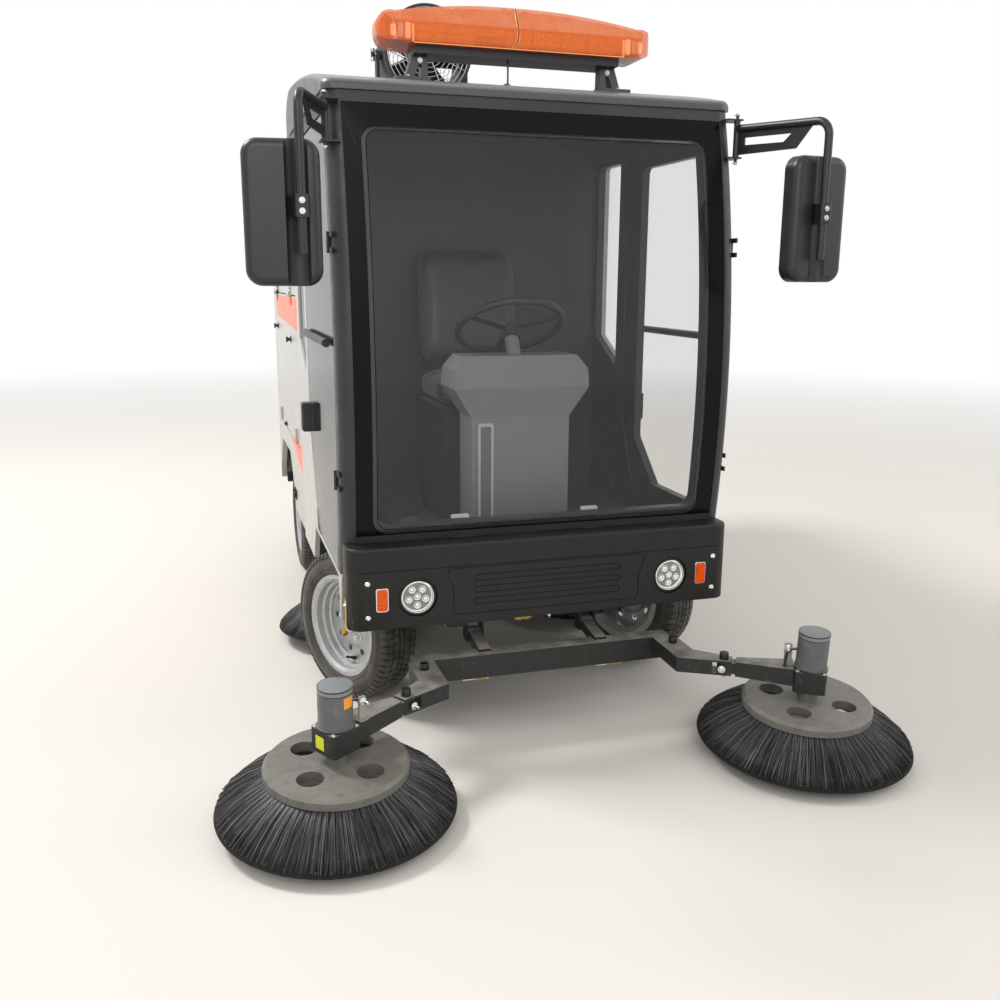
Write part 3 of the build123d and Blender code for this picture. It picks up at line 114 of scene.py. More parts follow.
def patches(tree, size_mm, detail, low, high, to_low=0.0, to_high=1.0):
    """Patches of about the given size: a noise on the machine, stretched between two levels."""
    where = add(tree, "ShaderNodeTexCoord").outputs["Object"]
    size = {"Scale": 1 / (size_mm * MM), "Detail": detail}
    noise = add(tree, "ShaderNodeTexNoise", size, {"Vector": where}).outputs["Fac"]
    levels = {"From Min": low, "From Max": high, "To Min": to_low, "To Max": to_high}
    return add(tree, "ShaderNodeMapRange", levels, {"Value": noise}).outputs["Result"]


def by_height(tree, low, high, to_low, to_high):
    """A share that changes with the height over the road, in metres."""
    where = add(tree, "ShaderNodeTexCoord").outputs["Object"]
    height = add(tree, "ShaderNodeSeparateXYZ", None, {0: where}).outputs["Z"]
    levels = {"From Min": low, "From Max": high, "To Min": to_low, "To Max": to_high}
    return add(tree, "ShaderNodeMapRange", levels, {"Value": height}).outputs["Result"]


def tint(tree, shader, share, colour):
    """Mixes one more colour into the shader's colour where a share is high."""
    socket = shader.inputs["Base Color"]
    node = add(tree, "ShaderNodeMix", data_type="RGBA")
    if socket.is_linked:
        tree.links.new(socket.links[0].from_socket, node.inputs[6])
    else:
        node.inputs[6].default_value = socket.default_value[:]
    node.inputs[7].default_value = opaque(colour)
    tree.links.new(share, node.inputs[0])
    tree.links.new(node.outputs[2], socket)


def relief(tree, shader, size_mm, detail, strength, depth_mm):
    """Fine relief whose grain has about the given size."""
    where = add(tree, "ShaderNodeTexCoord").outputs["Object"]
    size = {"Scale": 1 / (size_mm * MM), "Detail": detail}
    noise = add(tree, "ShaderNodeTexNoise", size, {"Vector": where}).outputs["Fac"]
    bump = add(tree, "ShaderNodeBump", {"Strength": strength, "Distance": depth_mm * MM}, {"Height": noise})
    tree.links.new(bump.outputs["Normal"], shader.inputs["Normal"])


def cells(tree, shader, size_mm, strength, depth_mm):
    """Relief of small cells, as prisms or leather grain; gives back the height in a cell."""
    where = add(tree, "ShaderNodeTexCoord").outputs["Object"]
    size = {"Scale": 1 / (size_mm * MM)}
    height = add(tree, "ShaderNodeTexVoronoi", size, {"Vector": where}).outputs["Distance"]
    bump = add(tree, "ShaderNodeBump", {"Strength": strength, "Distance": depth_mm * MM}, {"Height": height})
    tree.links.new(bump.outputs["Normal"], shader.inputs["Normal"])
    return height


def dust(tree, shader, colour, amount, least=0.45):
    """Dust that lies on faces which look up, in patches; least is its share where it is thinnest."""
    up = add(tree, "ShaderNodeSeparateXYZ", None, {0: add(tree, "ShaderNodeNewGeometry").outputs["Normal"]})
    lying = add(tree, "ShaderNodeMapRange", {"From Min": 0.35, "From Max": 0.95}, {"Value": up.outputs["Z"]})
    patch = patches(tree, 60, 6, 0.35, 0.62, least * amount, amount)
    share = add(tree, "ShaderNodeMath", None, {0: lying.outputs["Result"], 1: patch}, operation="MULTIPLY")
    tint(tree, shader, share.outputs[0], colour)


def smudge(tree, shader, low, high):
    """Uneven gloss, as from handling and weather."""
    tree.links.new(patches(tree, 45, 5, 0.3, 0.7, low, high), shader.inputs["Roughness"])


# Shapes


def fitted(name, data, body):
    """An object from mesh or curve data that rides on a body."""
    obj = bpy.data.objects.new(name, data)
    bpy.context.scene.collection.objects.link(obj)
    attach(obj, body)
    return obj


def piece(name, bm, mats, body):
    """Turns a modelled shape into a smooth-shaded object that rides on a body."""
    mesh = bpy.data.meshes.new(name)
    bm.normal_update()
    bm.to_mesh(mesh)
    bm.free()
    for mat in mats:
        mesh.materials.append(finish(mat))
    mesh.polygons.foreach_set("use_smooth", [True] * len(mesh.polygons))
    mesh.set_sharp_from_angle(angle=math.radians(35))
    return fitted(name, mesh, body)


def facing(centre, axis, up=UP):
    """A local frame at a point whose Z looks along an axis and whose Y looks up."""
    z = Vector(axis).normalized()
    x = Vector(up).cross(z)
    x = x.normalized() if x.length > 1e-6 else Vector((1, 0, 0))
    turn = Matrix((x, z.cross(x), z)).transposed().to_4x4()
    return Matrix.Translation(centre) @ turn


def on_circle(radius, angle, z=0.0):
    """A point at a radius and an angle round the local Z axis."""
    return Vector((radius * math.cos(angle), radius * math.sin(angle), z))


def lathe(bm, profile, steps, frame_in, mat=0, closed=False, caps=True):
    """Turns a profile of radius and height round the local Z axis, with caps at both ends if asked."""
    rings = [[bm.verts.new(frame_in @ on_circle(r, ROUND * k / steps, z)) for r, z in profile]
             for k in range(steps)]
    count = len(profile)
    for k in range(steps):
        here, there = rings[k], rings[(k + 1) % steps]
        for i in range(count if closed else count - 1):
            j = (i + 1) % count
            bm.faces.new((here[i], there[i], there[j], here[j])).material_index = mat
    if caps and not closed:
        for i, turned in ((0, True), (count - 1, False)):
            ring = [r[i] for r in rings]
            bm.faces.new(list(reversed(ring)) if turned else ring).material_index = mat


def slab(bm, outline, z0, z1, frame_in, mat=0, bevel=0.0):
    """A plate with an outline in local X and Y, its front edge bevelled."""
    low, high = ([bm.verts.new(frame_in @ Vector((x, y, z))) for x, y in outline] for z in (z0, z1))
    faces = [bm.faces.new(list(reversed(low))), bm.faces.new(high)]
    for i in range(len(outline)):
        j = (i + 1) % len(outline)
        faces.append(bm.faces.new((low[i], low[j], high[j], high[i])))
    for face in faces:
        face.material_index = mat
    if bevel:
        bmesh.ops.bevel(bm, geom=faces[1].edges[:], offset=bevel, segments=2, affect="EDGES", material=mat)


def rounded(w, h, r, steps=5):
    """Outline of a rectangle with round corners."""
    x, y = w / 2 - r, h / 2 - r
    points = []
    for start, (cx, cy) in enumerate(((x, y), (-x, y), (-x, -y), (x, -y))):
        for k in range(steps + 1):
            a = (start + k / steps) * math.pi / 2
            points.append((cx + r * math.cos(a), cy + r * math.sin(a)))
    return points


def rail(name, points, radius, mat, body, cyclic=False):
    """A round bar or wire along a smooth line."""
    data = bpy.data.curves.new(name, "CURVE")
    data.dimensions = "3D"
    data.bevel_depth = radius
    data.bevel_resolution = 3
    data.resolution_u = 8
    data.use_fill_caps = not cyclic
    line = data.splines.new("NURBS")
    line.points.add(len(points) - 1)
    for point, spot in zip(line.points, points):
        point.co = (*spot, 1.0)
    line.order_u = 3
    line.use_endpoint_u = not cyclic
    line.use_cyclic_u = cyclic
    data.materials.append(finish(mat))
    return fitted(name, data, body)


def bolt(bm, centre, axis, head_r, head_h, mat=0, washer=1.5):
    """A hexagon screw head on its washer."""
    seat = facing(centre, axis)
    wide, thick = head_r * washer, head_h * 0.22
    lathe(bm, [(TIP, 0.0), (wide, 0.0), (wide, thick), (TIP, thick)], 20, seat, mat)
    slab(bm, hexagon(head_r), head_h * 0.2, head_h, seat, mat, head_r * 0.16)


def hexagon(radius):
    """Outline of a screw head or a nut."""
    return [tuple(on_circle(radius, ROUND * k / 6)[:2]) for k in range(6)]


def stud(bm, low, high, seat, mat=0):
    """The threaded end of a bolt, with a small chamfer that closes it."""
    r, nose = 4.8 * MM, 1 * MM
    lathe(bm, [(r, low), (r, high), (r - 0.8 * MM, high + nose), (TIP, high + nose)], 14, seat, mat)


def dome_screw(bm, centre, axis, r, mat=0):
    """A low round screw head with a socket."""
    profile = [(r, 0.0), (r, r * 0.18), (r * 0.86, r * 0.42), (r * 0.5, r * 0.58), (r * 0.36, r * 0.58),
               (r * 0.34, r * 0.2), (TIP, r * 0.2)]
    lathe(bm, profile, 20, facing(centre, axis), mat)


def joint(name):
    """Place and axis of a joint."""
    found = next(j for j in frame["joints"] if j["name"] == name)
    return Vector(found["pos_m"]), Vector(found["axis"]).normalized()


def wheels():
    """Name, local frame and outward direction of each road wheel."""
    for end in ("front", "rear"):
        for side, sign in SIDES:
            name = end + "_" + side
            centre, axis = joint("roll_" + name)
            outward = axis if axis.x * sign > 0 else -axis
            yield name, facing(centre, outward), outward


def assign(mat, *names):
    """Puts a material on the named CAD pieces."""
    for name in names:
        mesh = NODES[name].data
        mesh.materials.clear()
        mesh.materials.append(mat)


def pair(*stems):
    """The left and right names of the pieces."""
    return [stem + "_" + side for stem in stems for side in ("left", "right")]


# Finishes


def moulded(base, roughness=0.5, grain_mm=1.6):
    """Injection moulded plastic or rubber: matt, with the fine even texture of a spark-eroded mould."""
    fleck = "#7a7a78" if base > "#6" else "#2c2c2c"
    return dict(base=base, roughness=roughness, patch=(70, 4, 0.45, 0.8, 0, 0.3, fleck),
                skin=(grain_mm, 1, 0.25, 0.25))


def plated(base, roughness):
    """Plated or bare metal: sharp highlights broken by light handling marks."""
    return dict(base=base, roughness=roughness, metallic=1.0, gloss=(roughness * 0.8, roughness * 1.5))


def enamelled(base):
    """Machine enamel on cast or welded metal: even, with a soft gloss and small casting marks."""
    return dict(base=base, roughness=0.42, patch=(40, 5, 0.5, 0.75, 0, 0.5, "#76797a"), gloss=(0.36, 0.54),
                skin=(3, 2, 0.2, 0.3))


def filament(base):
    """Extruded polypropylene filament: a long soft gleam, darker in patches."""
    return dict(base=base, roughness=0.4, Anisotropic=0.3, patch=(40, 2, 0.45, 0.7, 0, 0.4, "#3a3937"))


def plain(base, roughness, metallic=0.0, **extra):
    """An even finish with no pattern that would show."""
    return dict(base=base, roughness=roughness, metallic=metallic, **extra)


# Grain too fine to show, as of powder coat, mould texture and leather, is drawn a few times coarser.
# A finish has its base colour, roughness, metallic and further sockets, and where it has them
#   dusty: colour, share and least share of the dust on faces that look up
#   patch: size in mm, detail, two levels of the noise, two shares, colour
#   lower: two heights in m, two shares, colour
#   gloss: lowest and highest roughness
#   skin: size in mm, detail, strength, depth in mm of the relief
#   cell: size in mm, strength, depth in mm of a relief of cells
FINISHES = {
    # Two-pack acrylic sprayed over primed steel: broad soft highlights and a faint orange peel.
    "satin_charcoal_acrylic": dict(
        base="cab", roughness=0.4, Specular_IOR_Level=0.4, patch=(300, 4, 0.4, 0.75, 0, 0.3, "#3a3d3f"),
        gloss=(0.34, 0.5), skin=(5, 1, 0.05, 0.3)),
    # Painted glass fibre moulding: a little uneven, a warmer and duller black than the cab.
    "moulded_charcoal_grp": dict(
        base="#191715", roughness=0.46, Specular_IOR_Level=0.35, patch=(120, 5, 0.45, 0.8, 0, 0.3, "#2c2925"),
        gloss=(0.4, 0.58), skin=(3.5, 2, 0.2, 0.5)),
    # Gelcoat of the moulded roof: mid grey, soft gloss, dulled by dust that lies on it.
    "grey_roof_gelcoat": dict(
        base="roof", roughness=0.38, Coat_Weight=0.2, Coat_Roughness=0.3, dusty=("#8f8b84", 0.6, 0.85),
        gloss=(0.34, 0.5)),
    # Powder coat on welded steel: matt black with a fine even texture and road dust on top.
    "black_powder_coat": dict(base="#171615", roughness=0.5, dusty=("#6b645b", 0.5), skin=(2.5, 2, 0.3, 0.3)),
    # Brushed chassis paint on the arms: dark slate in the shade, pale where dust lies.
    "dusty_slate_paint": dict(
        base="#232424", roughness=0.5, Specular_IOR_Level=0.4, dusty=("#96918a", 0.8),
        patch=(25, 6, 0.6, 0.76, 0, 0.45, "#55534e"), gloss=(0.4, 0.62), skin=(4, 3, 0.25, 0.4)),
    # Enamel on the brush motors and their pressed brackets.
    "grey_motor_enamel": enamelled("#565a5b"),
    # The end cap's paler grey paints the light that falls on the motor's top.
    "end_cap_with_painted_light": enamelled("#7b8081"),
    "scuffed_grey_paint": enamelled("#8f8b83"),
    # Cast nylon of the brush discs: waxy, pale grey, turning marks and dust.
    "turned_grey_nylon": dict(
        base="plate", roughness=0.5, Subsurface_Weight=0.05, dusty=("#858077", 0.6),
        patch=(30, 6, 0.5, 0.75, 0, 0.6, "#4a4946"), skin=(6, 4, 0.25, 0.5)),
    # Near black filament; the grey strands and the pale strands are partly dust and wear and partly a painted
    # gleam.
    "fresh_pp_filament": filament("#1b1b1c"),
    "dusty_pp_filament": filament("#3d3c3d"),
    "gleaming_worn_pp_filament": filament("#666160"),
    # Packed filament ends behind the strands: black filament, darker than the strands and without gloss, so
    # that it paints the shade in the gaps between the tufts.
    "packed_filament_painted_shade": moulded("#080808", 0.9, 4),
    # Vulcanised tyre rubber: near black, grey with dust on the sidewall, fine moulding skin.
    "vulcanised_rubber": dict(
        base="#1d1c1b", roughness=0.62, Sheen_Weight=0.1, patch=(50, 6, 0.38, 0.72, 0.1, 0.65, "#5a554e"),
        skin=(3, 3, 0.3, 0.4)),
    # Metallic wheel enamel: bright silver grey, small flake, brake dust in the corners.
    "silver_wheel_enamel": dict(
        base="#b3b4b3", roughness=0.36, metallic=0.55, patch=(22, 5, 0.5, 0.78, 0, 0.45, "#7b776f"),
        gloss=(0.3, 0.48)),
    # Zinc plate on nuts and screws: cool and bright, duller on the cast stubs.
    "bright_zinc": plated("#d6d8d8", 0.22),
    "bright_zinc_screw": plated("#cfd2d2", 0.28),
    "bright_zinc_nut": plated("#c4c7c8", 0.28),
    "bright_zinc_head": plated("#e6e8e8", 0.2),
    "bright_guard_wire": plated("#c2c5c6", 0.3),
    "zinc_stub": plated("#c9cbc8", 0.3),
    # Yellow passivated zinc: gold with a rainbow unevenness.
    "yellow_passivated_zinc": dict(
        base="#c9a14a", roughness=0.32, metallic=1.0, patch=(20, 4, 0.45, 0.7, 0, 0.6, "#d8c79a")),
    # Turned brass: bronze brown and half bright, dulled by water on the nozzles.
    "turned_brass": plated("#a08a66", 0.36),
    "turned_brass_fitting": plated("#a98b4f", 0.35),
    # Stainless steel, nickel and aluminium: plain bright metal, softer where it was turned or pressed.
    "stainless_screw": plated("#c9cccd", 0.25),
    "nickel_gland": plated("#b9bbbb", 0.3),
    "turned_aluminium_knob": plated("#b9bcbe", 0.34),
    "pressed_aluminium": plated("#b4b7b7", 0.36),
    # Aluminised plastic of the reflectors and silvered glass of the mirrors.
    "aluminised_reflector": plated("#e4e6e8", 0.2),
    "silvered_glass": plated("#dfe4e6", 0.03),
    # Rubber: matt black, on the seal, the valves and the pedal.
    "extruded_rubber_seal": moulded("#0b0b0b", 0.7),
    "valve_rubber": moulded("#1b1b1b", 0.6),
    "moulded_pedal_rubber": moulded("#0f0f10", 0.6, 3),
    # Blackened steel of the socket screws.
    "blackened_screw": moulded("#0f0f10", 0.4, 2),
    # Moulded plastics: black housings and blades, plum black mirrors, grey trim.
    "black_lamp_housing": moulded("#131313", 0.45),
    "black_nylon_blade": moulded("#1d1d1e", 0.4),
    "plum_black_abs": moulded("#1a1819", 0.38, 2),
    "black_fitting": moulded("#121212", 0.42),
    "soft_grip_black": moulded("#161616"),
    "battery_case": moulded("#202124"),
    "grey_grained_abs": moulded("#6e7370"),
    "pale_grey_abs": moulded("#a9adaa", 0.45),
    "mid_grey_abs": moulded("#5d615f"),
    "waste_bin_plastic": moulded("#565a5c", 0.55),
    # Seat vinyl: matt black leather grain, soft gleam on the bulges.
    "black_seat_vinyl": dict(
        base="#1b1b1c", roughness=0.42, Sheen_Weight=0.15, cell=(4, 0.35, 0.5), gloss=(0.34, 0.5)),
    # Ceramic print fired on the glass: deep black with the glass's own soft gloss.
    "fired_black_print": plain("#06070a", 0.2, Specular_IOR_Level=0.15),
    # Blank stickers: flat coloured film with a soft gloss, nothing printed on it.
    "bare_orange_film": plain("#ee951f", 0.35),
    "bare_yellow_film": plain("#d4d81c", 0.35),
    # Satin white moulding and diodes of the headlamps: a bright field; their faint glow is painted light that
    # lifts the shade in the lamp bowls.
    "white_moulding_painted_glow": plain("#ecebe6", 0.4, Emission_Color=(1, 1, 0.98, 1), Emission_Strength=0.3),
    "cream_diode_painted_glow": plain("#f6f3dc", 0.25, Emission_Color=(1, 1, 0.9, 1), Emission_Strength=0.15),
    # Frosted plastic: the grey rims that part the diodes.
    "frosted_rim": plain("#a5a29c", 0.4),
    # Clear acrylic: a mirror-like skin over a thin film that light passes.
    "clear_acrylic": plain("#f4f7f7", 0.03, Alpha=0.12, IOR=1.5),
    # Moulded amber acrylic of the indicators: deep orange, glossy, ribbed inside.
    "moulded_amber_acrylic": dict(
        base="#e2560a", roughness=0.14, Specular_IOR_Level=0.35, patch=(9, 3, 0.45, 0.7, 0, 0.7, "#b8400a")),
    # Moulded red acrylic of the tail lamps, with prisms.
    "moulded_red_acrylic": dict(
        base="#a3100c", roughness=0.12, Coat_Weight=0.5, Coat_Roughness=0.05, cell=(5, 0.5, 0.8)),
    # Anodised aluminium rail of the light bar: satin black, paler along its dusty lower edge.
    "black_anodised_rail": dict(
        base="#1c1c1d", roughness=0.42, lower=(2.125, 2.135, 0.5, 0, "#5d5956"), skin=(3, 2, 0.2, 0.3)),
    # Moulded amber liner: deeper than the lens over it.
    "amber_liner": dict(base="#d8540c", roughness=0.35, patch=(30, 3, 0.4, 0.7, 0, 0.8, "#f07a1c")),
    # Vacuum-metallised plastic seen through amber: deep orange with a soft gleam; warm glass at the ends,
    # whose glow is painted light.
    "metallised_module": plain("#fa9434", 0.3, 0.3),
    "lamp_glass_painted_glow": plain("#ffe3a6", 0.2, Emission_Color=(1, 0.8, 0.4, 1), Emission_Strength=0.5),
    # The lens halves meet in edges painted pale amber as painted highlights, with a dark gasket between them;
    # the lens's lower lip is painted the same way.
    "lens_edge_painted_highlight": plain("#f7a860", 0.15, Coat_Weight=0.5),
    "lens_joint_gasket": plain("#6e2208", 0.6),
}


def finish(name):
    """The finish of that name, made on its first use."""
    if name in bpy.data.materials:
        return bpy.data.materials[name]
    sockets = dict(FINISHES[name])
    dusty, patch, lower, gloss, skin, cell = (
        sockets.pop(key, None) for key in ("dusty", "patch", "lower", "gloss", "skin", "cell"))
    base = sockets.pop("base")
    mat, tree, shader = material(name, base if base[0] == "#" else getattr(looks(), base), **sockets)
    if dusty:
        dust(tree, shader, *dusty)
    if patch:
        tint(tree, shader, patches(tree, *patch[:-1]), patch[-1])
    if lower:
        tint(tree, shader, by_height(tree, *lower[:-1]), lower[-1])
    if gloss:
        smudge(tree, shader, *gloss)
    if skin:
        relief(tree, shader, *skin)
    if cell:
        cells(tree, shader, *cell)
    return mat


def half_plane(tree, y, z, from_point, to_point):
    """1 on the left of a line from one point to another, seen in Y and Z."""
    (y0, z0), (y1, z1) = from_point, to_point
    a, b = z0 - z1, y1 - y0
    first = add(tree, "ShaderNodeMath", {1: a, 2: -(a * y0 + b * z0)}, {0: y},
                operation="MULTIPLY_ADD").outputs[0]
    both = add(tree, "ShaderNodeMath", {1: b}, {0: z, 2: first}, operation="MULTIPLY_ADD").outputs[0]
    return add(tree, "ShaderNodeMath", {1: 0.0}, {0: both}, operation="GREATER_THAN").outputs[0]


def silver_enamel(banded):
    """Stoving enamel on sheet steel, with the orange bands and road dirt where they belong."""
    # Baked enamel: smooth, pale warm grey, slight waviness of the sheet.
    name = "silver_enamel_with_bands" if banded else "silver_enamel"
    mat, tree, shader = material(name, looks().body, 0.34, Coat_Weight=0.2, Coat_Roughness=0.2)
    tint(tree, shader, patches(tree, 400, 4, 0.35, 0.75, 0, 0.5), "#a3a19c")
    if banded:
        where = add(tree, "ShaderNodeTexCoord").outputs["Object"]
        x, y, z = add(tree, "ShaderNodeSeparateXYZ", None, {0: where}).outputs
        # Only the outer face of the sheet carries the bands.
        out = add(tree, "ShaderNodeMath", None, {0: x}, operation="ABSOLUTE").outputs[0]
        outer = add(tree, "ShaderNodeMath", {1: FLANK_X - 7 * MM}, {0: out},
                    operation="GREATER_THAN").outputs[0]
        # Corners of each band in Y and Z, anticlockwise: along the flank, behind the cab, over the arch.
        for corners in (
            ((0.238, 1.236), (0.38, 1.240), (1.42, 1.262), (1.42, 1.372), (0.238, 1.372)),
            ((0.238, 0.62), (0.27, 0.66), (0.31, 1.24), (0.238, 1.24)),
            ((0.238, 0.616), (0.40, 0.645), (1.17, 0.659), (1.30, 0.700), (0.238, 0.772)),
        ):
            share = outer
            for corner, following in zip(corners, corners[1:] + corners[:1]):
                side = half_plane(tree, y, z, corner, following)
                share = add(tree, "ShaderNodeMath", None, {0: share, 1: side},
                            operation="MULTIPLY").outputs[0]
            tint(tree, shader, share, looks().stripe)
        low, spots = by_height(tree, 0.42, 0.75, 0.55, 0), patches(tree, 90, 6, 0, 1)
        dirt = add(tree, "ShaderNodeMath", None, {0: low, 1: spots}, operation="MULTIPLY").outputs[0]
        tint(tree, shader, dirt, "#8d857a")
    smudge(tree, shader, 0.28, 0.44)
    relief(tree, shader, 260, 1, 0.25, 2)
    return mat


def looks():
    """The scene's colours."""
    return bpy.context.scene.sweeper_looks


def counts():
    """The scene's numbers of strands and tread blocks."""
    return bpy.context.scene.sweeper_counts


def colour(name, description, value):
    """A colour property with its default as an sRGB hex value."""
    return bpy.props.FloatVectorProperty(name=name, description=description, subtype="COLOR", size=3, min=0,
                                         max=1, default=linear(value))


def length(name, description, value_mm, low_mm, high_mm):
    """A length property with its default and limits in millimetres."""
    return bpy.props.FloatProperty(name=name, description=description, subtype="DISTANCE", unit="LENGTH",
                                   default=value_mm * MM, min=low_mm * MM, max=high_mm * MM)


class SweeperLooks(bpy.types.PropertyGroup):
    """Colours of the machine."""
    cab: colour("Cab paint", "Satin paint of the cab front and pillars", "#272a2b")
    body: colour("Body enamel", "Enamel of the side skins and the body", "#b7b5b0")
    stripe: colour("Bands", "Orange bands on the flanks", "#ee6a3c")
    roof: colour("Roof", "Gelcoat of the roof", "#3c4042")
    amber: colour("Amber", "Amber plastic of the light bar's lens", "#f57a18")
    plate: colour("Brush disc", "Nylon of the brush discs", "#696761")


class SweeperCounts(bpy.types.PropertyGroup):
    """Numbers and sizes of the fine parts."""
    front_strands: bpy.props.IntProperty(name="Front strands", description="Strands in each front brush",
                                         default=6600, min=500, max=9000)
    mid_strands: bpy.props.IntProperty(name="Middle strands", description="Strands in each middle brush",
                                       default=3600, min=500, max=9000)
    strand_r: length("Strand radius", "Radius of a brush strand at its root", 1.45, 0.3, 3)
    tread_pitches: bpy.props.IntProperty(name="Tread pitches", description="Blocks round each tyre",
                                         default=64, min=20, max=90)
    groove_depth: length("Tread depth", "Depth of the tread grooves", 7, 2, 12)


class SWEEPER_OT_studio(bpy.types.Operator):
    """Builds the floor, the lights and the camera"""
    bl_idname = "sweeper.studio"
    bl_label = "Studio and camera"

    def execute(self, context):
        scene = context.scene
        scene.view_settings.view_transform = "Standard"
        self.floor(scene)
        self.world(scene)
        self.lamps(scene)
        self.camera(scene)
        return {"FINISHED"}

    @staticmethod
    def floor(scene):
        """A matt floor that runs into the white backdrop far away."""
        bm = bmesh.new()
        bmesh.ops.create_grid(bm, x_segments=8, y_segments=8, size=40)
        mesh = bpy.data.meshes.new("studio_floor")
        bm.to_mesh(mesh)
        bm.free()
        floor = bpy.data.objects.new("studio_floor", mesh)
        scene.collection.objects.link(floor)
        # Painted studio floor: pale and matt, so that shadows stay soft.
        ground, tree, shader = material("matt_studio_floor", "#dbd6ce", 0.9)
        where = add(tree, "ShaderNodeTexCoord").outputs["Object"]
        reach = add(tree, "ShaderNodeVectorMath", None, {0: where}, operation="LENGTH").outputs["Value"]
        far = add(tree, "ShaderNodeMapRange", {"From Min": 3.5, "From Max": 13.0},
                  {"Value": reach}).outputs["Result"]
        white = add(tree, "ShaderNodeEmission", {"Color": (1, 1, 1, 1), "Strength": 1.0})
        fade = add(tree, "ShaderNodeMixShader", None, {0: far, 1: shader.outputs[0], 2: white.outputs[0]})
        tree.links.new(fade.outputs[0], tree.nodes["Material Output"].inputs["Surface"])
        mesh.materials.append(ground)

    @staticmethod
    def world(scene):
        """Even light from all round; the camera, metal and glass see plain white."""
        world = bpy.data.worlds.new("studio_world")
        scene.world = world
        world.use_nodes = True
        tree = world.node_tree
        glow = tree.nodes["Background"]
        glow.inputs["Color"].default_value = (1, 1, 1, 1)
        glow.inputs["Strength"].default_value = 0.72
        white = add(tree, "ShaderNodeBackground", {"Color": (1, 1, 1, 1), "Strength": 1.0})
        path = add(tree, "ShaderNodeLightPath")
        seen = path.outputs["Is Camera Ray"]
        for ray in ("Is Glossy Ray", "Is Transmission Ray"):
            seen = add(tree, "ShaderNodeMath", None, {0: seen, 1: path.outputs[ray]},
                       operation="MAXIMUM").outputs[0]
        mix = add(tree, "ShaderNodeMixShader", None, {0: seen, 1: glow.outputs[0], 2: white.outputs[0]})
        tree.links.new(mix.outputs[0], tree.nodes["World Output"].inputs["Surface"])

    @staticmethod
    def lamps(scene):
        """Three soft lamps that look at the middle of the machine."""
        middle = Vector((0, 0, 0.9))
        # name, place in m, power in W, size in m
        for name, spot, power, size in (
            ("key_light", (-5.0, 2.5, 7.5), 560.0, 2.0),
            ("front_light", (-2.0, -7.5, 4.5), 190.0, 4.5),
            ("side_light", (6.0, -3.0, 4.0), 90.0, 4.0),
        ):
            data = bpy.data.lights.new(name, "AREA")
            data.energy = power
            data.size = size
            lamp = bpy.data.objects.new(name, data)
            lamp.location = spot
            lamp.rotation_euler = (middle - Vector(spot)).to_track_quat("-Z", "Y").to_euler()
            scene.collection.objects.link(lamp)

    @staticmethod
    def camera(scene):
        """The camera at the photograph's place, angle and lens."""
        data = bpy.data.cameras.new("photo_camera")
        data.sensor_width = 36.0
        data.lens = 35.68
        camera = bpy.data.objects.new("photo_camera", data)
        scene.collection.objects.link(camera)
        camera.location = (-1.0255, -3.8333, 1.4673)
        yaw, pitch, roll = math.radians(16.81), math.radians(12.73), math.radians(-0.31)
        turn = (Matrix.Rotation(-yaw, 4, "Z") @ Matrix.Rotation(math.pi / 2 - pitch, 4, "X")
                @ Matrix.Rotation(-roll, 4, "Z"))
        camera.rotation_euler = turn.to_euler()
        scene.camera = camera


class SWEEPER_OT_paint(bpy.types.Operator):
    """Paints the cab, the roof, the body and the frame"""
    bl_idname = "sweeper.paint"
    bl_label = "Paint"

    def execute(self, context):
        assign(finish("satin_charcoal_acrylic"), "cab_frame", *pair("door"))
        assign(finish("moulded_charcoal_grp"), "front_bumper")
        assign(silver_enamel(True), "rear_body", *pair("service_door"))
        assign(silver_enamel(False), "side_panels", "rear_door")
        assign(finish("grey_roof_gelcoat"), "cab_roof")
        assign(finish("black_powder_coat"), "chassis_frame", "axles", "cab_floor", "rear_bumper",
               "seat_frame", "fan_yoke", *pair("knuckle"))
        return {"FINISHED"}


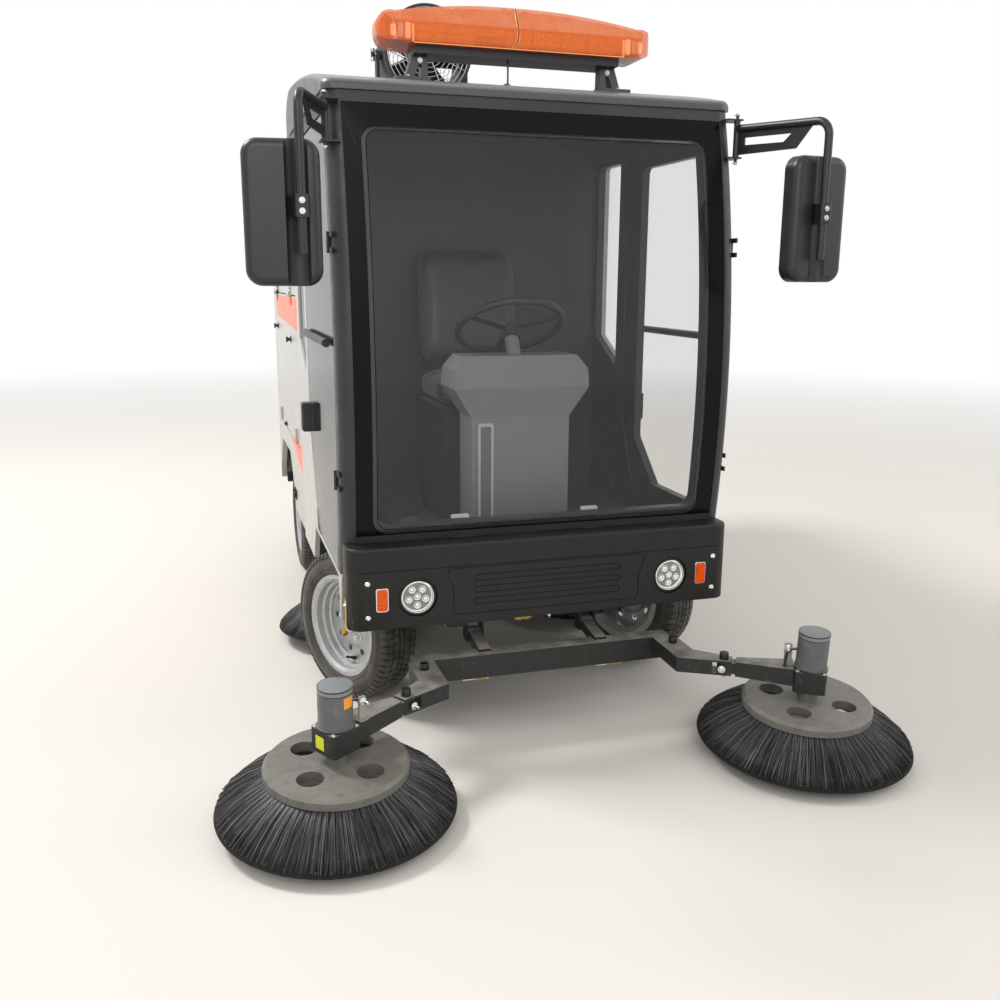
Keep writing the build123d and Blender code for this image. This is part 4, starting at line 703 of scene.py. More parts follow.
class SWEEPER_OT_glazing(bpy.types.Operator):
    """Glazes the cab, prints the windscreen's border and seals its lower edge"""
    bl_idname = "sweeper.glazing"
    bl_label = "Glazing"

    def execute(self, context):
        # Laminated glass: mirror smooth and nearly clear, it mirrors more as it is seen more from the side.
        glass, tree, shader = material("grey_laminated_glass", "#141c28", 0.03, IOR=2.9)
        slant = add(tree, "ShaderNodeLayerWeight", {"Blend": 0.5}).outputs["Facing"]
        levels = {"From Min": 0.6, "From Max": 1.0, "To Min": 0.09, "To Max": 0.9}
        cover = add(tree, "ShaderNodeMapRange", levels, {"Value": slant}).outputs["Result"]
        tree.links.new(cover, shader.inputs["Alpha"])
        assign(glass, "windscreen", "cab_glass", *pair("door_glass"))
        low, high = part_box("windscreen")
        edge_x = high.x - 1 * MM
        # name, then the outer and the inner edge as half width, lower and upper height, corner radius
        for name, outside, within in (
            ("screen_border", (edge_x, low.z + 1 * MM, high.z - 1 * MM, 0.004), (0.547, 0.692, 1.887, 0.046)),
            ("screen_line", (0.5345, 0.7045, 1.8755, 0.035), (0.5325, 0.7065, 1.8735, 0.033)),
        ):
            bm = bmesh.new()
            outer, inner = ([bm.verts.new(self.on_glass(x, z)) for x, z in self.ring(*edge)]
                            for edge in (outside, within))
            for k in range(len(outer)):
                j = (k + 1) % len(outer)
                bm.faces.new((outer[k], outer[j], inner[j], inner[k]))
            piece(name, bm, ["fired_black_print"], "machine")
        self.lower_seal(edge_x)
        return {"FINISHED"}

    def lower_seal(self, edge_x):
        """The rubber that closes the gap between the glass and the bumper."""
        points = [self.on_glass(edge_x * (k - 6) / 6, 0.6775) + Vector((0, 1.2 * MM, 0)) for k in range(13)]
        bm = bmesh.new()
        for near, far in zip(points, points[1:]):
            strip = rounded((far - near).length + 0.2 * MM, 20.5 * MM, 0.1 * MM, 1)
            slab(bm, strip, 0.0, 4.2 * MM, facing((near + far) / 2, AHEAD))
        bmesh.ops.remove_doubles(bm, verts=bm.verts, dist=0.3 * MM)
        piece("screen_lower_seal", bm, ["extruded_rubber_seal"], "machine")

    @staticmethod
    def on_glass(x, z):
        """A point on the bulged windscreen, 1 mm in from its outer face."""
        radius = ARC_R - 1 * MM
        return Vector((x, ARC_Y - math.sqrt(radius ** 2 - (z - ARC_Z) ** 2), z))

    @staticmethod
    def ring(half, z0, z1, r):
        """A rounded rectangle on the windscreen, with points all along its sides."""
        points = []
        arc_steps, side_steps = 8, 16
        corners = rounded(2 * half, z1 - z0, r, arc_steps)
        mid = (z0 + z1) / 2
        for k, (x, y) in enumerate(corners):
            points.append((x, y + mid))
            nx, ny = corners[(k + 1) % len(corners)]
            steps = side_steps if (k + 1) % (arc_steps + 1) == 0 else 1
            for s in range(1, steps):
                points.append((x + (nx - x) * s / steps, y + (ny - y) * s / steps + mid))
        return points


class SWEEPER_OT_tyres(bpy.types.Operator):
    """Models the tyres with their tread and beads"""
    bl_idname = "sweeper.tyres"
    bl_label = "Tyres"

    def execute(self, context):
        for name, hub, outward in wheels():
            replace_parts(self.tyre("treaded_tyre_" + name, hub, "wheel_" + name), "tyre_" + name)
        return {"FINISHED"}

    def tyre(self, name, frame_in, body):
        """One tyre round the local Z axis."""
        depth = counts().groove_depth
        # radius and distance from the middle, from the bead over the sidewall to the tread's base
        half = [(0.1683, 0.0617), (0.1823, 0.0617), (0.1863, 0.0697), (0.1945, 0.0745), (0.2, 0.0735),
                (0.2035, 0.0768), (0.216, 0.0774), (0.227, 0.0758), (0.2295, 0.0735), (0.238, 0.0712),
                (0.2475, 0.066), (0.2535, 0.058), (0.2566, 0.05), (TYRE_R - depth, 0.03)]
        bm = bmesh.new()
        lathe(bm, half + [(r, -z) for r, z in reversed(half)], 96, frame_in, closed=True)
        pitches = counts().tread_pitches
        step = ROUND / pitches
        # z from, z to, share of the pitch, turn as a share of the pitch, slant
        for z0, z1, share, turn, slant in (
            (-0.0075, 0.0075, 0.8, 0.0, 0.25),
            (0.0125, 0.0315, 0.84, 0.5, -0.35), (-0.0315, -0.0125, 0.84, 0.5, 0.35),
            (0.0365, 0.056, 0.86, 0.2, -0.15), (-0.056, -0.0365, 0.86, 0.2, 0.15),
        ):
            for k in range(pitches):
                self.block(bm, frame_in, (k + turn) * step, share * step / 2, z0, z1, slant * step, depth)
        for sign in (-1, 1):
            for k in range(pitches):
                self.shoulder(bm, frame_in, (k + 0.2) * step, 0.36 * step, sign)
        return piece(name, bm, ["vulcanised_rubber"], body)

    @staticmethod
    def crown(z):
        """Radius of the tread at a distance from the middle."""
        return TYRE_R - 4.2 * MM * (abs(z) / 0.0535) ** 2

    def block(self, bm, frame_in, angle, half, z0, z1, slant, depth):
        """One tread block."""
        rows = []
        for r_drop, inset in ((depth + 2 * MM, 0.0), (0.8 * MM, 0.0), (0.0, 1.1 * MM)):
            row = []
            for z, s in ((z0, -1), (z1, -1), (z1, 1), (z0, 1)):
                end = z + (inset if z == z0 else -inset)
                a = angle + s * (half - inset / TYRE_R) + slant * (z - z0) / (z1 - z0)
                row.append(bm.verts.new(frame_in @ on_circle(self.crown(z) - r_drop, a, end)))
            rows.append(row)
        for low, high in zip(rows, rows[1:]):
            for i in range(4):
                j = (i + 1) % 4
                bm.faces.new((low[i], low[j], high[j], high[i]))
        bm.faces.new(rows[-1])

    @staticmethod
    def shoulder(bm, frame_in, angle, half, sign):
        """One buttress on the shoulder."""
        line = ((0.2605, 0.0565), (0.2585, 0.0640), (0.2500, 0.0700), (0.2425, 0.0722))
        # over the sidewall, and the same line sunk into it by so much in radius and towards the middle
        rows = []
        for s in (-1, 1):
            for down, inward in ((0.0, 0.0), (6 * MM, 4 * MM)):
                a = angle + s * half
                rows.append([bm.verts.new(frame_in @ on_circle(r - down, a, sign * (z - inward)))
                             for r, z in line])
        top_a, low_a, top_b, low_b = rows
        for i in range(len(line) - 1):
            for quad in ((top_a[i], top_a[i + 1], top_b[i + 1], top_b[i]),
                         (low_a[i], low_a[i + 1], top_a[i + 1], top_a[i]),
                         (top_b[i], top_b[i + 1], low_b[i + 1], low_b[i])):
                bm.faces.new(quad if sign > 0 else tuple(reversed(quad)))


class SWEEPER_OT_wheels(bpy.types.Operator):
    """Finishes the rims and adds nuts, studs and valves"""
    bl_idname = "sweeper.wheels"
    bl_label = "Rims and nuts"

    def execute(self, context):
        assign(finish("silver_wheel_enamel"), *pair("rim_front", "rim_rear"))
        nut_ring_r, nuts = 0.057, 5
        for name, hub, outward in wheels():
            bm = bmesh.new()
            for k in range(nuts):
                a = ROUND * k / nuts
                spot = hub @ Vector((nut_ring_r * math.sin(a), nut_ring_r * math.cos(a), 0.012))
                seat = facing(spot, outward)
                lathe(bm, [(0.0145, 0.0), (0.0145, 0.0025), (0.0122, 0.004)], 20, seat)
                slab(bm, hexagon(0.0116), 0.002, 0.0146, seat, 0, 0.0018)
                lathe(bm, [(0.0055, 0.014), (0.0055, 0.0195), (0.0045, 0.0205)], 14, seat)
            # hub cap
            lathe(bm, [(0.0325, 0.030), (0.0325, 0.0335), (0.030, 0.0352), (0.012, 0.0362), (0.0005, 0.0363)],
                  36, hub)
            piece("wheel_nuts_" + name, bm, ["bright_zinc"], "wheel_" + name)
            bm = bmesh.new()
            root = hub @ Vector((0.0, -0.135, 0.012))
            lean = outward * 0.9 + (hub.to_3x3() @ Vector((0, 1, 0))) * 0.35
            lathe(bm, [(0.0075, -0.004), (0.0075, 0.004), (0.0045, 0.010), (0.004, 0.026), (0.005, 0.027),
                       (0.005, 0.034), (0.003, 0.036)], 14, facing(root, lean))
            piece("valve_" + name, bm, ["valve_rubber"], "wheel_" + name)
        return {"FINISHED"}


class SWEEPER_OT_brushes(bpy.types.Operator):
    """Fills the brushes with strands"""
    bl_idname = "sweeper.brushes"
    bl_label = "Brushes"

    def execute(self, context):
        assign(finish("turned_grey_nylon"), *pair("brush_plate"))
        assign(finish("packed_filament_painted_shade"), *pair("bristles", "mid_brush"))
        # name, tufts, strands, first seed, then the layers of strands from the outer one inwards:
        # root radius and height, tip radius and height, share of the strands
        for kind, tufts, count, seed, layers in (
            ("front", 82, counts().front_strands, 11,
             ((0.191, -0.031, 0.3265, -0.127, 1.0), (0.181, -0.031, 0.319, -0.132, 0.8),
              (0.168, -0.031, 0.302, -0.134, 0.5), (0.152, -0.031, 0.277, -0.134, 0.3))),
            ("mid", 56, counts().mid_strands, 31,
             ((0.132, -0.0235, 0.2575, -0.114, 1.0), (0.118, -0.0235, 0.246, -0.117, 0.7),
              (0.102, -0.0235, 0.225, -0.117, 0.4))),
        ):
            for side, sign in SIDES:
                body = kind + "_brush_" + side
                self.ring(kind + "_strands_" + side, facing(*joint(body + "_spin")), layers, tufts, count,
                          body, seed + sign)
        self.roller()
        return {"FINISHED"}

    def ring(self, name, frame_in, layers, tufts, count, body, seed):
        """Tufts of strands that fan out under a disc, in layers."""
        rng = random.Random(seed)
        store = ([], [], [])
        pitch = ROUND / tufts
        total = sum(layer[4] for layer in layers)
        for order, (r0, z0, r1, z1, share) in enumerate(layers):
            each = int(count * share / total / tufts)
            for tuft in range(tufts):
                middle = pitch * (tuft + 0.5 * (order % 2))
                lean = rng.gauss(0, 0.1 * pitch)
                for k in range(each):
                    # place in the tuft from -1 to 1: strands stand closer at the root than at the tip
                    off = 2 * (k + rng.random()) / each - 1
                    root = middle + 0.33 * off * pitch
                    tip = middle + 0.56 * off * pitch + lean + rng.gauss(0, 0.18 * pitch)
                    reach = rng.uniform(-0.014, 0.0)
                    rise = rng.uniform(0.0, 0.008)
                    crown = rng.uniform(0.003, 0.006) + 0.006 * (1 - off * off)
                    points = []
                    # share of the way to the tip, share of the upward bow
                    for t, arch in ((0.0, 0.0), (0.45, 1.0), (0.8, 0.7), (1.0, 0.0)):
                        r = r0 + (r1 + reach - r0) * t
                        z = z0 + (z1 + rise - z0) * t + crown * arch
                        points.append(on_circle(r, root + (tip - root) * t, z))
                    self.strand(store, points, counts().strand_r, frame_in, root, rng)
        self.mesh(name, store, body)

    def roller(self):
        """The roller: a core tube with helical rows of strands."""
        rng = random.Random(5)
        low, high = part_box("roller_brush")
        shaft = facing(joint("roller_spin")[0], (1, 0, 0))
        half = 0.398
        bm = bmesh.new()
        lathe(bm, [(0.0145, low.x), (0.0145, -half), (0.056, -half), (0.060, -half + 0.004),
                   (0.060, half - 0.004), (0.056, half), (0.0145, half), (0.0145, high.x)], 40, shaft)
        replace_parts(piece("roller_core", bm, ["black_powder_coat"], "roller_brush"), "roller_brush")
        store = ([], [], [])
        rows, places, end_gap, twist = 12, 96, 8 * MM, 0.9
        for row in range(rows):
            for k in range(places):
                x = -half + end_gap + 2 * (half - end_gap) * k / (places - 1)
                turn = ROUND * row / rows + twist * k / places
                for s in range(4):
                    a = turn + rng.gauss(0, 0.03)
                    b = a + rng.gauss(0, 0.06)
                    tip = rng.uniform(0.145, 0.1495)
                    dx = rng.gauss(0, 0.003)
                    points = [on_circle(0.058, a, x), on_circle(0.105, (a + b) / 2, x + dx / 2),
                              on_circle(tip, b, x + dx)]
                    self.strand(store, points, 1.6 * MM, shaft, a, rng)
        self.mesh("roller_strands", store, "roller_brush")

    @staticmethod
    def strand(store, points, radius, frame_in, angle, rng):
        """One three-sided strand along its points, in a filament colour of its own; the paler colours partly
        paint a gleam.
        """
        verts, faces, shades = store
        first = len(verts)
        shade = rng.choices((0, 1, 2), (5, 4, 2))[0]
        side = Vector((-math.sin(angle), math.cos(angle), 0))
        for i, point in enumerate(points):
            along = (points[min(i + 1, len(points) - 1)] - points[max(i - 1, 0)]).normalized()
            over = along.cross(side).normalized()
            r = radius * (1.0 - 0.3 * i / (len(points) - 1))
            for k in range(3):
                b = ROUND * k / 3
                verts.append(frame_in @ (point + side * (r * math.cos(b)) + over * (r * math.sin(b))))
            if i:
                base = first + 3 * (i - 1)
                for k in range(3):
                    j = (k + 1) % 3
                    faces.append((base + k, base + j, base + 3 + j, base + 3 + k))
                    shades.append(shade)
        faces.append((len(verts) - 3, len(verts) - 2, len(verts) - 1))
        shades.append(shade)

    @staticmethod
    def mesh(name, store, body):
        """One object from a store of strands, in the three shades of filament."""
        verts, faces, shades = store
        data = bpy.data.meshes.new(name)
        data.from_pydata(verts, [], faces)
        data.polygons.foreach_set("use_smooth", [True] * len(data.polygons))
        # the dusty and the pale strands, given at random, carry dust and wear and also a painted gleam
        for shade in ("fresh", "dusty", "gleaming_worn"):
            data.materials.append(finish(shade + "_pp_filament"))
        data.polygons.foreach_set("material_index", shades)
        fitted(name, data, body)


class SWEEPER_OT_arms(bpy.types.Operator):
    """Finishes the brush beam, the arms and the motors"""
    bl_idname = "sweeper.arms"
    bl_label = "Brush arms"

    def execute(self, context):
        assign(finish("dusty_slate_paint"), "brush_beam", *pair("front_arm", "mid_arm"))
        for side, sign in SIDES:
            centre, axis = joint("front_brush_" + side + "_spin")
            pivot = joint("front_arm_" + side + "_swing")[0]
            way = Vector((pivot.x - centre.x, pivot.y - centre.y, 0)).normalized()
            toward = Vector((-sign * way.y, sign * way.x, 0))
            up = facing(centre, axis, (0, 1, 0))
            case = facing(up @ Vector((0, 0, 0.103)), axis, way)
            self.motor(side, axis, up, case)
            self.screws(side, sign, pivot, toward)
            self.bracket(side, sign, centre, way, toward)
            self.stickers(side, sign, up, case)
        self.nozzles()
        return {"FINISHED"}

    @staticmethod
    def motor(side, axis, up, case):
        """The gear motor with its end cap, and the screws at the corners of the gear case's top."""
        cap_z = 0.2085
        # radius and height of the motor's foot, body, groove and end cap
        profile = [(0.0462, 0.104), (0.0462, 0.109), (0.0474, 0.110), (0.0474, 0.204), (0.0462, 0.2055),
                   (0.0448, 0.206), (0.0448, 0.2075), (0.0472, cap_z), (0.0478, 0.2105), (0.0478, 0.2185),
                   (0.0462, 0.2222), (0.040, 0.2236), (TIP, 0.2238)]
        bm = bmesh.new()
        lathe(bm, profile, 56, up)
        # faces above the groove take the end cap's paler grey, painted light on the motor's top
        for face in bm.faces:
            height = (up.inverted() @ face.calc_center_median()).z
            face.material_index = 1 if height > cap_z else 0
        corner = 0.039
        for dx in (-corner, corner):
            for dy in (-corner, corner):
                bolt(bm, case @ Vector((dx, dy, 0)), axis, 0.0048, 0.0045, 2)
        piece("brush_motor_" + side, bm, ["grey_motor_enamel", "end_cap_with_painted_light", "bright_zinc_screw"],
              "front_arm_" + side)

    @staticmethod
    def screws(side, sign, pivot, toward):
        """Socket screws on the elbow and the knee, and the fork's clamping bolt."""
        bm = bmesh.new()
        for spot in (Vector((pivot.x, pivot.y, 0)), Vector((sign * 0.420, -1.035, 0))):
            lathe(bm, [(0.0143, 0.2885), (0.0146, 0.29), (0.0146, 0.3068), (0.0132, 0.3092), (0.0082, 0.3096),
                       (0.0078, 0.3082), (TIP, 0.3082)], 28, Matrix.Translation(spot))
        piece("arm_socket_screws_" + side, bm, ["blackened_screw"], "brush_beam")
        bm = bmesh.new()
        bolt(bm, Vector((pivot.x, pivot.y, 0.2398)), (0, 0, -1), 0.011, 0.010, 0, 1.35)
        flank = Vector((pivot.x - sign * 6 * MM, pivot.y, 0.262)) + toward * 0.0255
        bolt(bm, flank, toward, 0.0085, 0.008, 0, 1.4)
        stud(bm, 0.006, 0.017, facing(flank, toward))
        piece("arm_clamp_bolts_" + side, bm, ["bright_zinc_screw"], "brush_beam")

    @staticmethod
    def bracket(side, sign, centre, way, toward):
        """Upright plate on the arm with the bolt that sets the brush's height."""
        shift = 0.034 if sign < 0 else 0.0
        foot = Vector((centre.x, centre.y, 0.2895)) + way * 0.066 + toward * shift
        bm = bmesh.new()
        plate = facing(foot + Vector((0, 0, 0.034)), toward)
        slab(bm, rounded(0.024, 0.072, 0.006), -0.003, 0.003, plate, 0, 0.0008)
        slab(bm, rounded(0.030, 0.020, 0.002), 0.0, 0.0035, facing(foot, UP, toward))
        top = foot + Vector((0, 0, 0.056))
        bolt(bm, top + toward * 0.003, toward, 0.0085, 0.008, 1, 1.3)
        stud(bm, 0.008, 0.026, facing(top, toward), 1)
        bolt(bm, top - toward * 0.003, -toward, 0.0085, 0.008, 1, 1.3)
        piece("height_bracket_" + side, bm, ["scuffed_grey_paint", "bright_zinc_screw"], "front_arm_" + side)

    @staticmethod
    def stickers(side, sign, up, case):
        """Bare stickers on the motor and on the right gear case."""
        first, span, steps = -1.20 if sign < 0 else 0.10, 0.72, 8
        bm = bmesh.new()
        rows = [[bm.verts.new(up @ on_circle(0.0478, first + span * k / steps, z)) for z in (0.170, 0.201)]
                for k in range(steps + 1)]
        for here, there in zip(rows, rows[1:]):
            bm.faces.new((here[0], there[0], there[1], here[1]))
        if sign < 0:
            flat = case @ Matrix.Translation((-0.008, -0.0482, -0.036)) @ Matrix.Rotation(math.pi / 2, 4, "X")
            slab(bm, rounded(0.034, 0.038, 0.001, 2), 0.0, 0.0006, flat, 1)
        piece("motor_sticker_" + side, bm, ["bare_orange_film", "bare_yellow_film"], "front_arm_" + side)

    @staticmethod
    def nozzles():
        """Ribbed spray nozzles on stubs along the beam's lower edge."""
        bm = bmesh.new()
        for x in (-0.218, 0.240):
            seat = facing(Vector((x, -0.958, 0.2045)), (1, 0, 0), AHEAD)
            ribs = [(TIP, -0.02)]
            for k in range(4):
                z = -0.02 + 0.01 * k
                ribs += [(0.0075, z), (0.0092, z + 0.001), (0.0092, z + 0.007), (0.0075, z + 0.008)]
            lathe(bm, ribs + [(TIP, 0.018)], 20, seat)
            lathe(bm, [(TIP, -0.062), (0.0032, -0.062), (0.0036, -0.018), (TIP, -0.018)], 12, seat, 1)
            bolt(bm, seat @ Vector((0, 0, 0.019)), (1, 0, 0), 0.006, 0.006, 1)
            hanger = facing((x, -0.955, 0.2118), UP, (0, 1, 0))
            slab(bm, rounded(0.030, 0.016, 0.003), -0.0045, 0.0, hanger, 1)
            slab(bm, rounded(0.016, 0.003, 0.001, 2), -0.008, 0.0, hanger, 1)
        piece("spray_nozzles", bm, ["turned_brass", "zinc_stub"], "brush_beam")


class SWEEPER_OT_lamps(bpy.types.Operator):
    """Models the lamps and the light bar"""
    bl_idname = "sweeper.lamps"
    bl_label = "Lamps"

    def execute(self, context):
        assign(finish("moulded_red_acrylic"), "tail_lamps")
        assign(self.prismed_amber_acrylic(), "light_bar_lens")
        assign(finish("black_anodised_rail"), "light_bar_base")
        self.headlamps()
        self.indicators()
        self.modules()
        self.seam()
        self.bar_screws()
        return {"FINISHED"}

    @staticmethod
    def prismed_amber_acrylic():
        """Lens of the light bar."""
        # Prismed acrylic: amber film with fine prisms, with a painted shadow that darkens it near its lip and
        # a pale peach painted highlight in patches on the faces that look up.
        lens, tree, shader = material("prismed_amber_acrylic", looks().amber, 0.16, Coat_Weight=0.35,
                                      Coat_Roughness=0.06, Alpha=0.66)
        height = cells(tree, shader, 5, 0.3, 0.8)
        deep = add(tree, "ShaderNodeMapRange", {"From Min": 0.1, "From Max": 0.75, "To Max": 0.75},
                   {"Value": height})
        tint(tree, shader, deep.outputs["Result"], "#cf530f")
        # painted shadow: darker amber in a band just above the lens's lower lip
        tint(tree, shader, by_height(tree, 2.162, 2.178, 0.55, 0.0), "#b5430c")
        # painted highlight: the dust helper lays pale peach on the faces that look up
        dust(tree, shader, "#f9b48c", 1.1)
        return lens

    @staticmethod
    def headlamps():
        """Round lamps with six diodes on a white field, behind clear lenses."""
        low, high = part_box("headlamps")
        z = (low.z + high.z) / 2
        diodes = 6
        housing, silver, white, cream, rim = range(5)
        bm = bmesh.new()
        glass = bmesh.new()
        for sign in (-1, 1):
            seat = facing((sign * (high.x - (high.z - low.z) / 2), -0.9715, z), AHEAD)
            lathe(bm, [(0.0615, -0.010), (0.0615, 0.0005), (0.0585, 0.003), (0.0535, 0.003),
                       (0.0515, -0.002)], 48, seat, housing)
            lathe(bm, [(0.0515, 0.009), (0.050, 0.0105), (0.0475, 0.0105), (0.0465, 0.006)], 48, seat, silver,
                  caps=False)
            lathe(bm, [(0.0465, 0.006), (0.044, -0.003), (0.040, -0.004), (TIP, -0.0042)], 48, seat, white,
                  caps=False)
            # five diodes in a ring and the last one in the middle
            for k in range(diodes):
                reach = 0.0275 if k < diodes - 1 else 0.0
                spot = on_circle(reach, ROUND * k / (diodes - 1) - math.pi / 2, -0.004)
                cup = facing(seat @ spot, AHEAD)
                lathe(bm, [(0.0118, 0.0), (0.0118, 0.0055), (0.0106, 0.0057), (0.0102, 0.0052)], 28, cup, rim,
                      caps=False)
                lathe(bm, [(0.0102, 0.0052), (0.0075, 0.001), (TIP, 0.001)], 28, cup, white, caps=False)
                lathe(bm, [(0.006, 0.001), (0.0054, 0.0036), (0.0028, 0.0052), (TIP, 0.0055)], 18, cup, cream)
            lathe(glass, [(0.0475, 0.0085), (0.0475, 0.0105), (0.040, 0.0128), (0.022, 0.0145),
                          (0.0005, 0.0152)], 40, seat)
        # the white field and the diodes glow a little: painted light against the shade in the bowls
        bowls = piece("headlamp_bowls", bm, ["black_lamp_housing", "aluminised_reflector",
                                             "white_moulding_painted_glow", "cream_diode_painted_glow", "frosted_rim"], "machine")
        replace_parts(bowls, "headlamps")
        piece("headlamp_lenses", glass, ["clear_acrylic"], "machine")

    @staticmethod
    def indicators():
        """Amber lamps with cross ribs in a bright frame."""
        low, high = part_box("indicators")
        bm = bmesh.new()
        for sign in (-1, 1):
            seat = facing((sign * (high.x - 0.0197), -0.980, (low.z + high.z) / 2), AHEAD)
            slab(bm, rounded(0.0385, 0.0745, 0.007), -0.004, 0.0025, seat, 1, 0.0012)
            slab(bm, rounded(0.0325, 0.0680, 0.005), 0.001, 0.0052, seat, 0, 0.0016)
            for k in range(-2, 3):
                rib = seat @ Matrix.Translation((0, 0.0115 * k, 0))
                slab(bm, rounded(0.026, 0.0025, 0.001, 2), 0.005, 0.0061, rib)
        lenses = piece("indicator_lenses", bm, ["moulded_amber_acrylic", "aluminised_reflector"], "machine")
        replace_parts(lenses, "indicators")

    @staticmethod
    def modules():
        """A liner inside the bar's lens, reflector modules along it and round lamps at its ends."""
        low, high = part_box("light_bar_lens")
        middle = (low + high) / 2
        liner, module, silver, glow = range(4)
        bm = bmesh.new()
        bm.from_mesh(NODES["light_bar_lens"].data)
        for vert in bm.verts:
            vert.co = middle + (vert.co - middle) * Vector((0.975, 0.87, 0.87))
        for face in bm.faces:
            face.material_index = liner
        # two rows of modules: height of the middle, height of a module
        rows = ((2.1765, 0.026), (2.2015, 0.019))
        for k in range(7):
            for z, height in rows:
                # the seam of the lens takes the place of one module
                if (k, z) != (2, rows[0][0]):
                    seat = facing((-0.288 + 0.0925 * k, middle.y, z), AHEAD)
                    slab(bm, rounded(0.086, height, 0.004), 0.070, 0.0785, seat, module, 0.003)
        for sign in (-1, 1):
            for k in range(3):
                seat = facing((sign * (0.362 + 0.022 * k), middle.y, 2.193), AHEAD)
                slab(bm, rounded(0.015, 0.046 - 0.006 * k, 0.004), 0.060, 0.0785 - 0.003 * k, seat,
                     silver if k % 2 else glow, 0.003)
            seat = facing((sign * 0.346, middle.y, 2.187), AHEAD)
            slab(bm, rounded(0.004, 0.050, 0.001, 2), 0.070, 0.0805, seat, glow)
        piece("bar_modules", bm, ["amber_liner", "metallised_module", "aluminised_reflector",
                                  "lamp_glass_painted_glow"], "machine")

    @staticmethod
    def seam():
        """The joint of the two lens halves and the lens's lower lip."""
        # from the lip in front over the ridge to the crown; behind, the same line mirrored
        front = [(-0.031, -0.6553, 2.1605), (-0.019, -0.6545, 2.172), (-0.0125, -0.6535, 2.190),
                 (-0.011, -0.6525, 2.207), (-0.0105, -0.6472, 2.226), (-0.010, -0.630, 2.2515),
                 (-0.009, -0.6125, 2.2775), (-0.008, -0.603, 2.2878), (-0.008, -0.590, 2.2910)]
        line = front + [(x, 2 * BAR_Y - y, z) for x, y, z in reversed(front)]
        # name, shift and radius in mm, finish
        for name, shift, r, mat in (
            ("left", -3.5, 1.1, "lens_edge_painted_highlight"),
            ("mid", 0, 1.6, "lens_joint_gasket"),
            ("right", 3.5, 1.1, "lens_edge_painted_highlight"),
        ):
            # the two pale edges on either side of the gasket are painted highlights
            rail("lens_seam_" + name, [(x + shift * MM, y, z) for x, y, z in line], r * MM, mat, "machine")
        bm = bmesh.new()
        for sign in (-1, 1):
            seat = facing((0, BAR_Y + sign * 0.0848, 2.1589), (0, sign, 0))
            slab(bm, rounded(0.690, 0.0026, 0.001, 2), -0.001, 0.0012, seat)
        # the lip's pale amber is a painted highlight along the lens's lower edge
        piece("lens_lip", bm, ["lens_edge_painted_highlight"], "machine")

    @staticmethod
    def bar_screws():
        """Screws of the bar's feet, screw caps on its lens and the gland of its lead."""
        bm = bmesh.new()
        for sign in (-1, 1):
            for dy in (-0.022, 0.022):
                bolt(bm, Vector((sign * 0.352, BAR_Y + dy, 2.0721)), UP, 0.005, 0.005)
            bolt(bm, Vector((sign * 0.314, -0.5922, 2.1215)), AHEAD, 0.0055, 0.006)
        piece("bar_foot_screws", bm, ["stainless_screw"], "machine")
        bm = bmesh.new()
        for x in (-0.35, -0.19, -0.035, 0.035, 0.19, 0.35):
            # the lens's crown falls towards its ends
            spot = Matrix.Translation((x, BAR_Y, BAR_TOP_Z - 0.041 * (x / 0.40) ** 2))
            lathe(bm, [(0.0065, -0.004), (0.0065, 0.001), (0.005, 0.002), (TIP, 0.0022)], 18, spot)
        piece("lens_screw_caps", bm, ["black_lamp_housing"], "machine")
        bm = bmesh.new()
        lathe(bm, [(0.013, 0.0), (0.013, 0.003), (0.009, 0.005), (0.005, 0.007)], 24,
              facing((-0.028, -0.585, 2.0632), (0, -0.2, 1)))
        piece("roof_grommet", bm, ["nickel_gland"], "machine")


class SWEEPER_OT_fan(bpy.types.Operator):
    """Finishes the mist fan and adds its wire guards"""
    bl_idname = "sweeper.fan"
    bl_label = "Mist fan"

    def execute(self, context):
        assign(finish("black_powder_coat"), "fan_drum")
        assign(finish("black_nylon_blade"), "fan_rotor")
        centre = joint("fan_tilt")[0]
        for name, way in (("front", -1), ("rear", 1)):
            self.guard(name, facing(centre + Vector((0, way * 0.1245, 0)), (0, way, 0)), way)
        # Clamping knobs at both ends of the tilt pin, each with two lugs.
        low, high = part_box("fan_yoke")
        bm = bmesh.new()
        for way, end in ((-1, low.x), (1, high.x)):
            lathe(bm, [(TIP, -0.006), (0.015, -0.006), (0.015, -0.001), (0.012, 0.001), (0.012, 0.004),
                       (TIP, 0.004)], 28, facing((end - way * 0.020, centre.y, centre.z), (way, 0, 0)))
            for tip in (-1, 1):
                lathe(bm, [(0.0078, 0.010), (0.0085, 0.014), (0.0085, 0.0228), (0.0075, 0.0236),
                           (TIP, 0.0236)], 20, facing((end - way * 0.007, centre.y, centre.z), (0, 0, tip)))
        piece("yoke_knobs", bm, ["turned_aluminium_knob"], "machine")
        return {"FINISHED"}

    @staticmethod
    def guard(name, seat, way):
        """One wire guard: rings, spokes, a plate in the middle and its screws on the drum."""
        wire = "bright_guard_wire"
        rings, spokes, screws, sides = 8, 8, 4, 24
        for k in range(rings):
            r = 0.164 - 0.0175 * k
            points = [seat @ on_circle(r, ROUND * i / sides) for i in range(sides)]
            rail("guard_ring_%s_%d" % (name, k), points, 1.4 * MM, wire, "fan_drum", cyclic=True)
        for k in range(spokes):
            points = [seat @ on_circle(r, ROUND * (k + 0.5) / spokes, -2 * MM) for r in (0.030, 0.1, 0.165)]
            rail("guard_spoke_%s_%d" % (name, k), points, 1.8 * MM, wire, "fan_drum")
        bm = bmesh.new()
        lathe(bm, [(0.034, -0.002), (0.034, 0.0), (0.030, 0.002), (0.0005, 0.0025)], 32, seat)
        piece("guard_centre_" + name, bm, ["black_powder_coat"], "fan_drum")
        bm = bmesh.new()
        for k in range(screws):
            dome_screw(bm, seat @ on_circle(0.163, ROUND * (k + 0.5) / screws), (0, way, 0), 0.0075)
        piece("guard_screws_" + name, bm, [wire], "fan_drum")


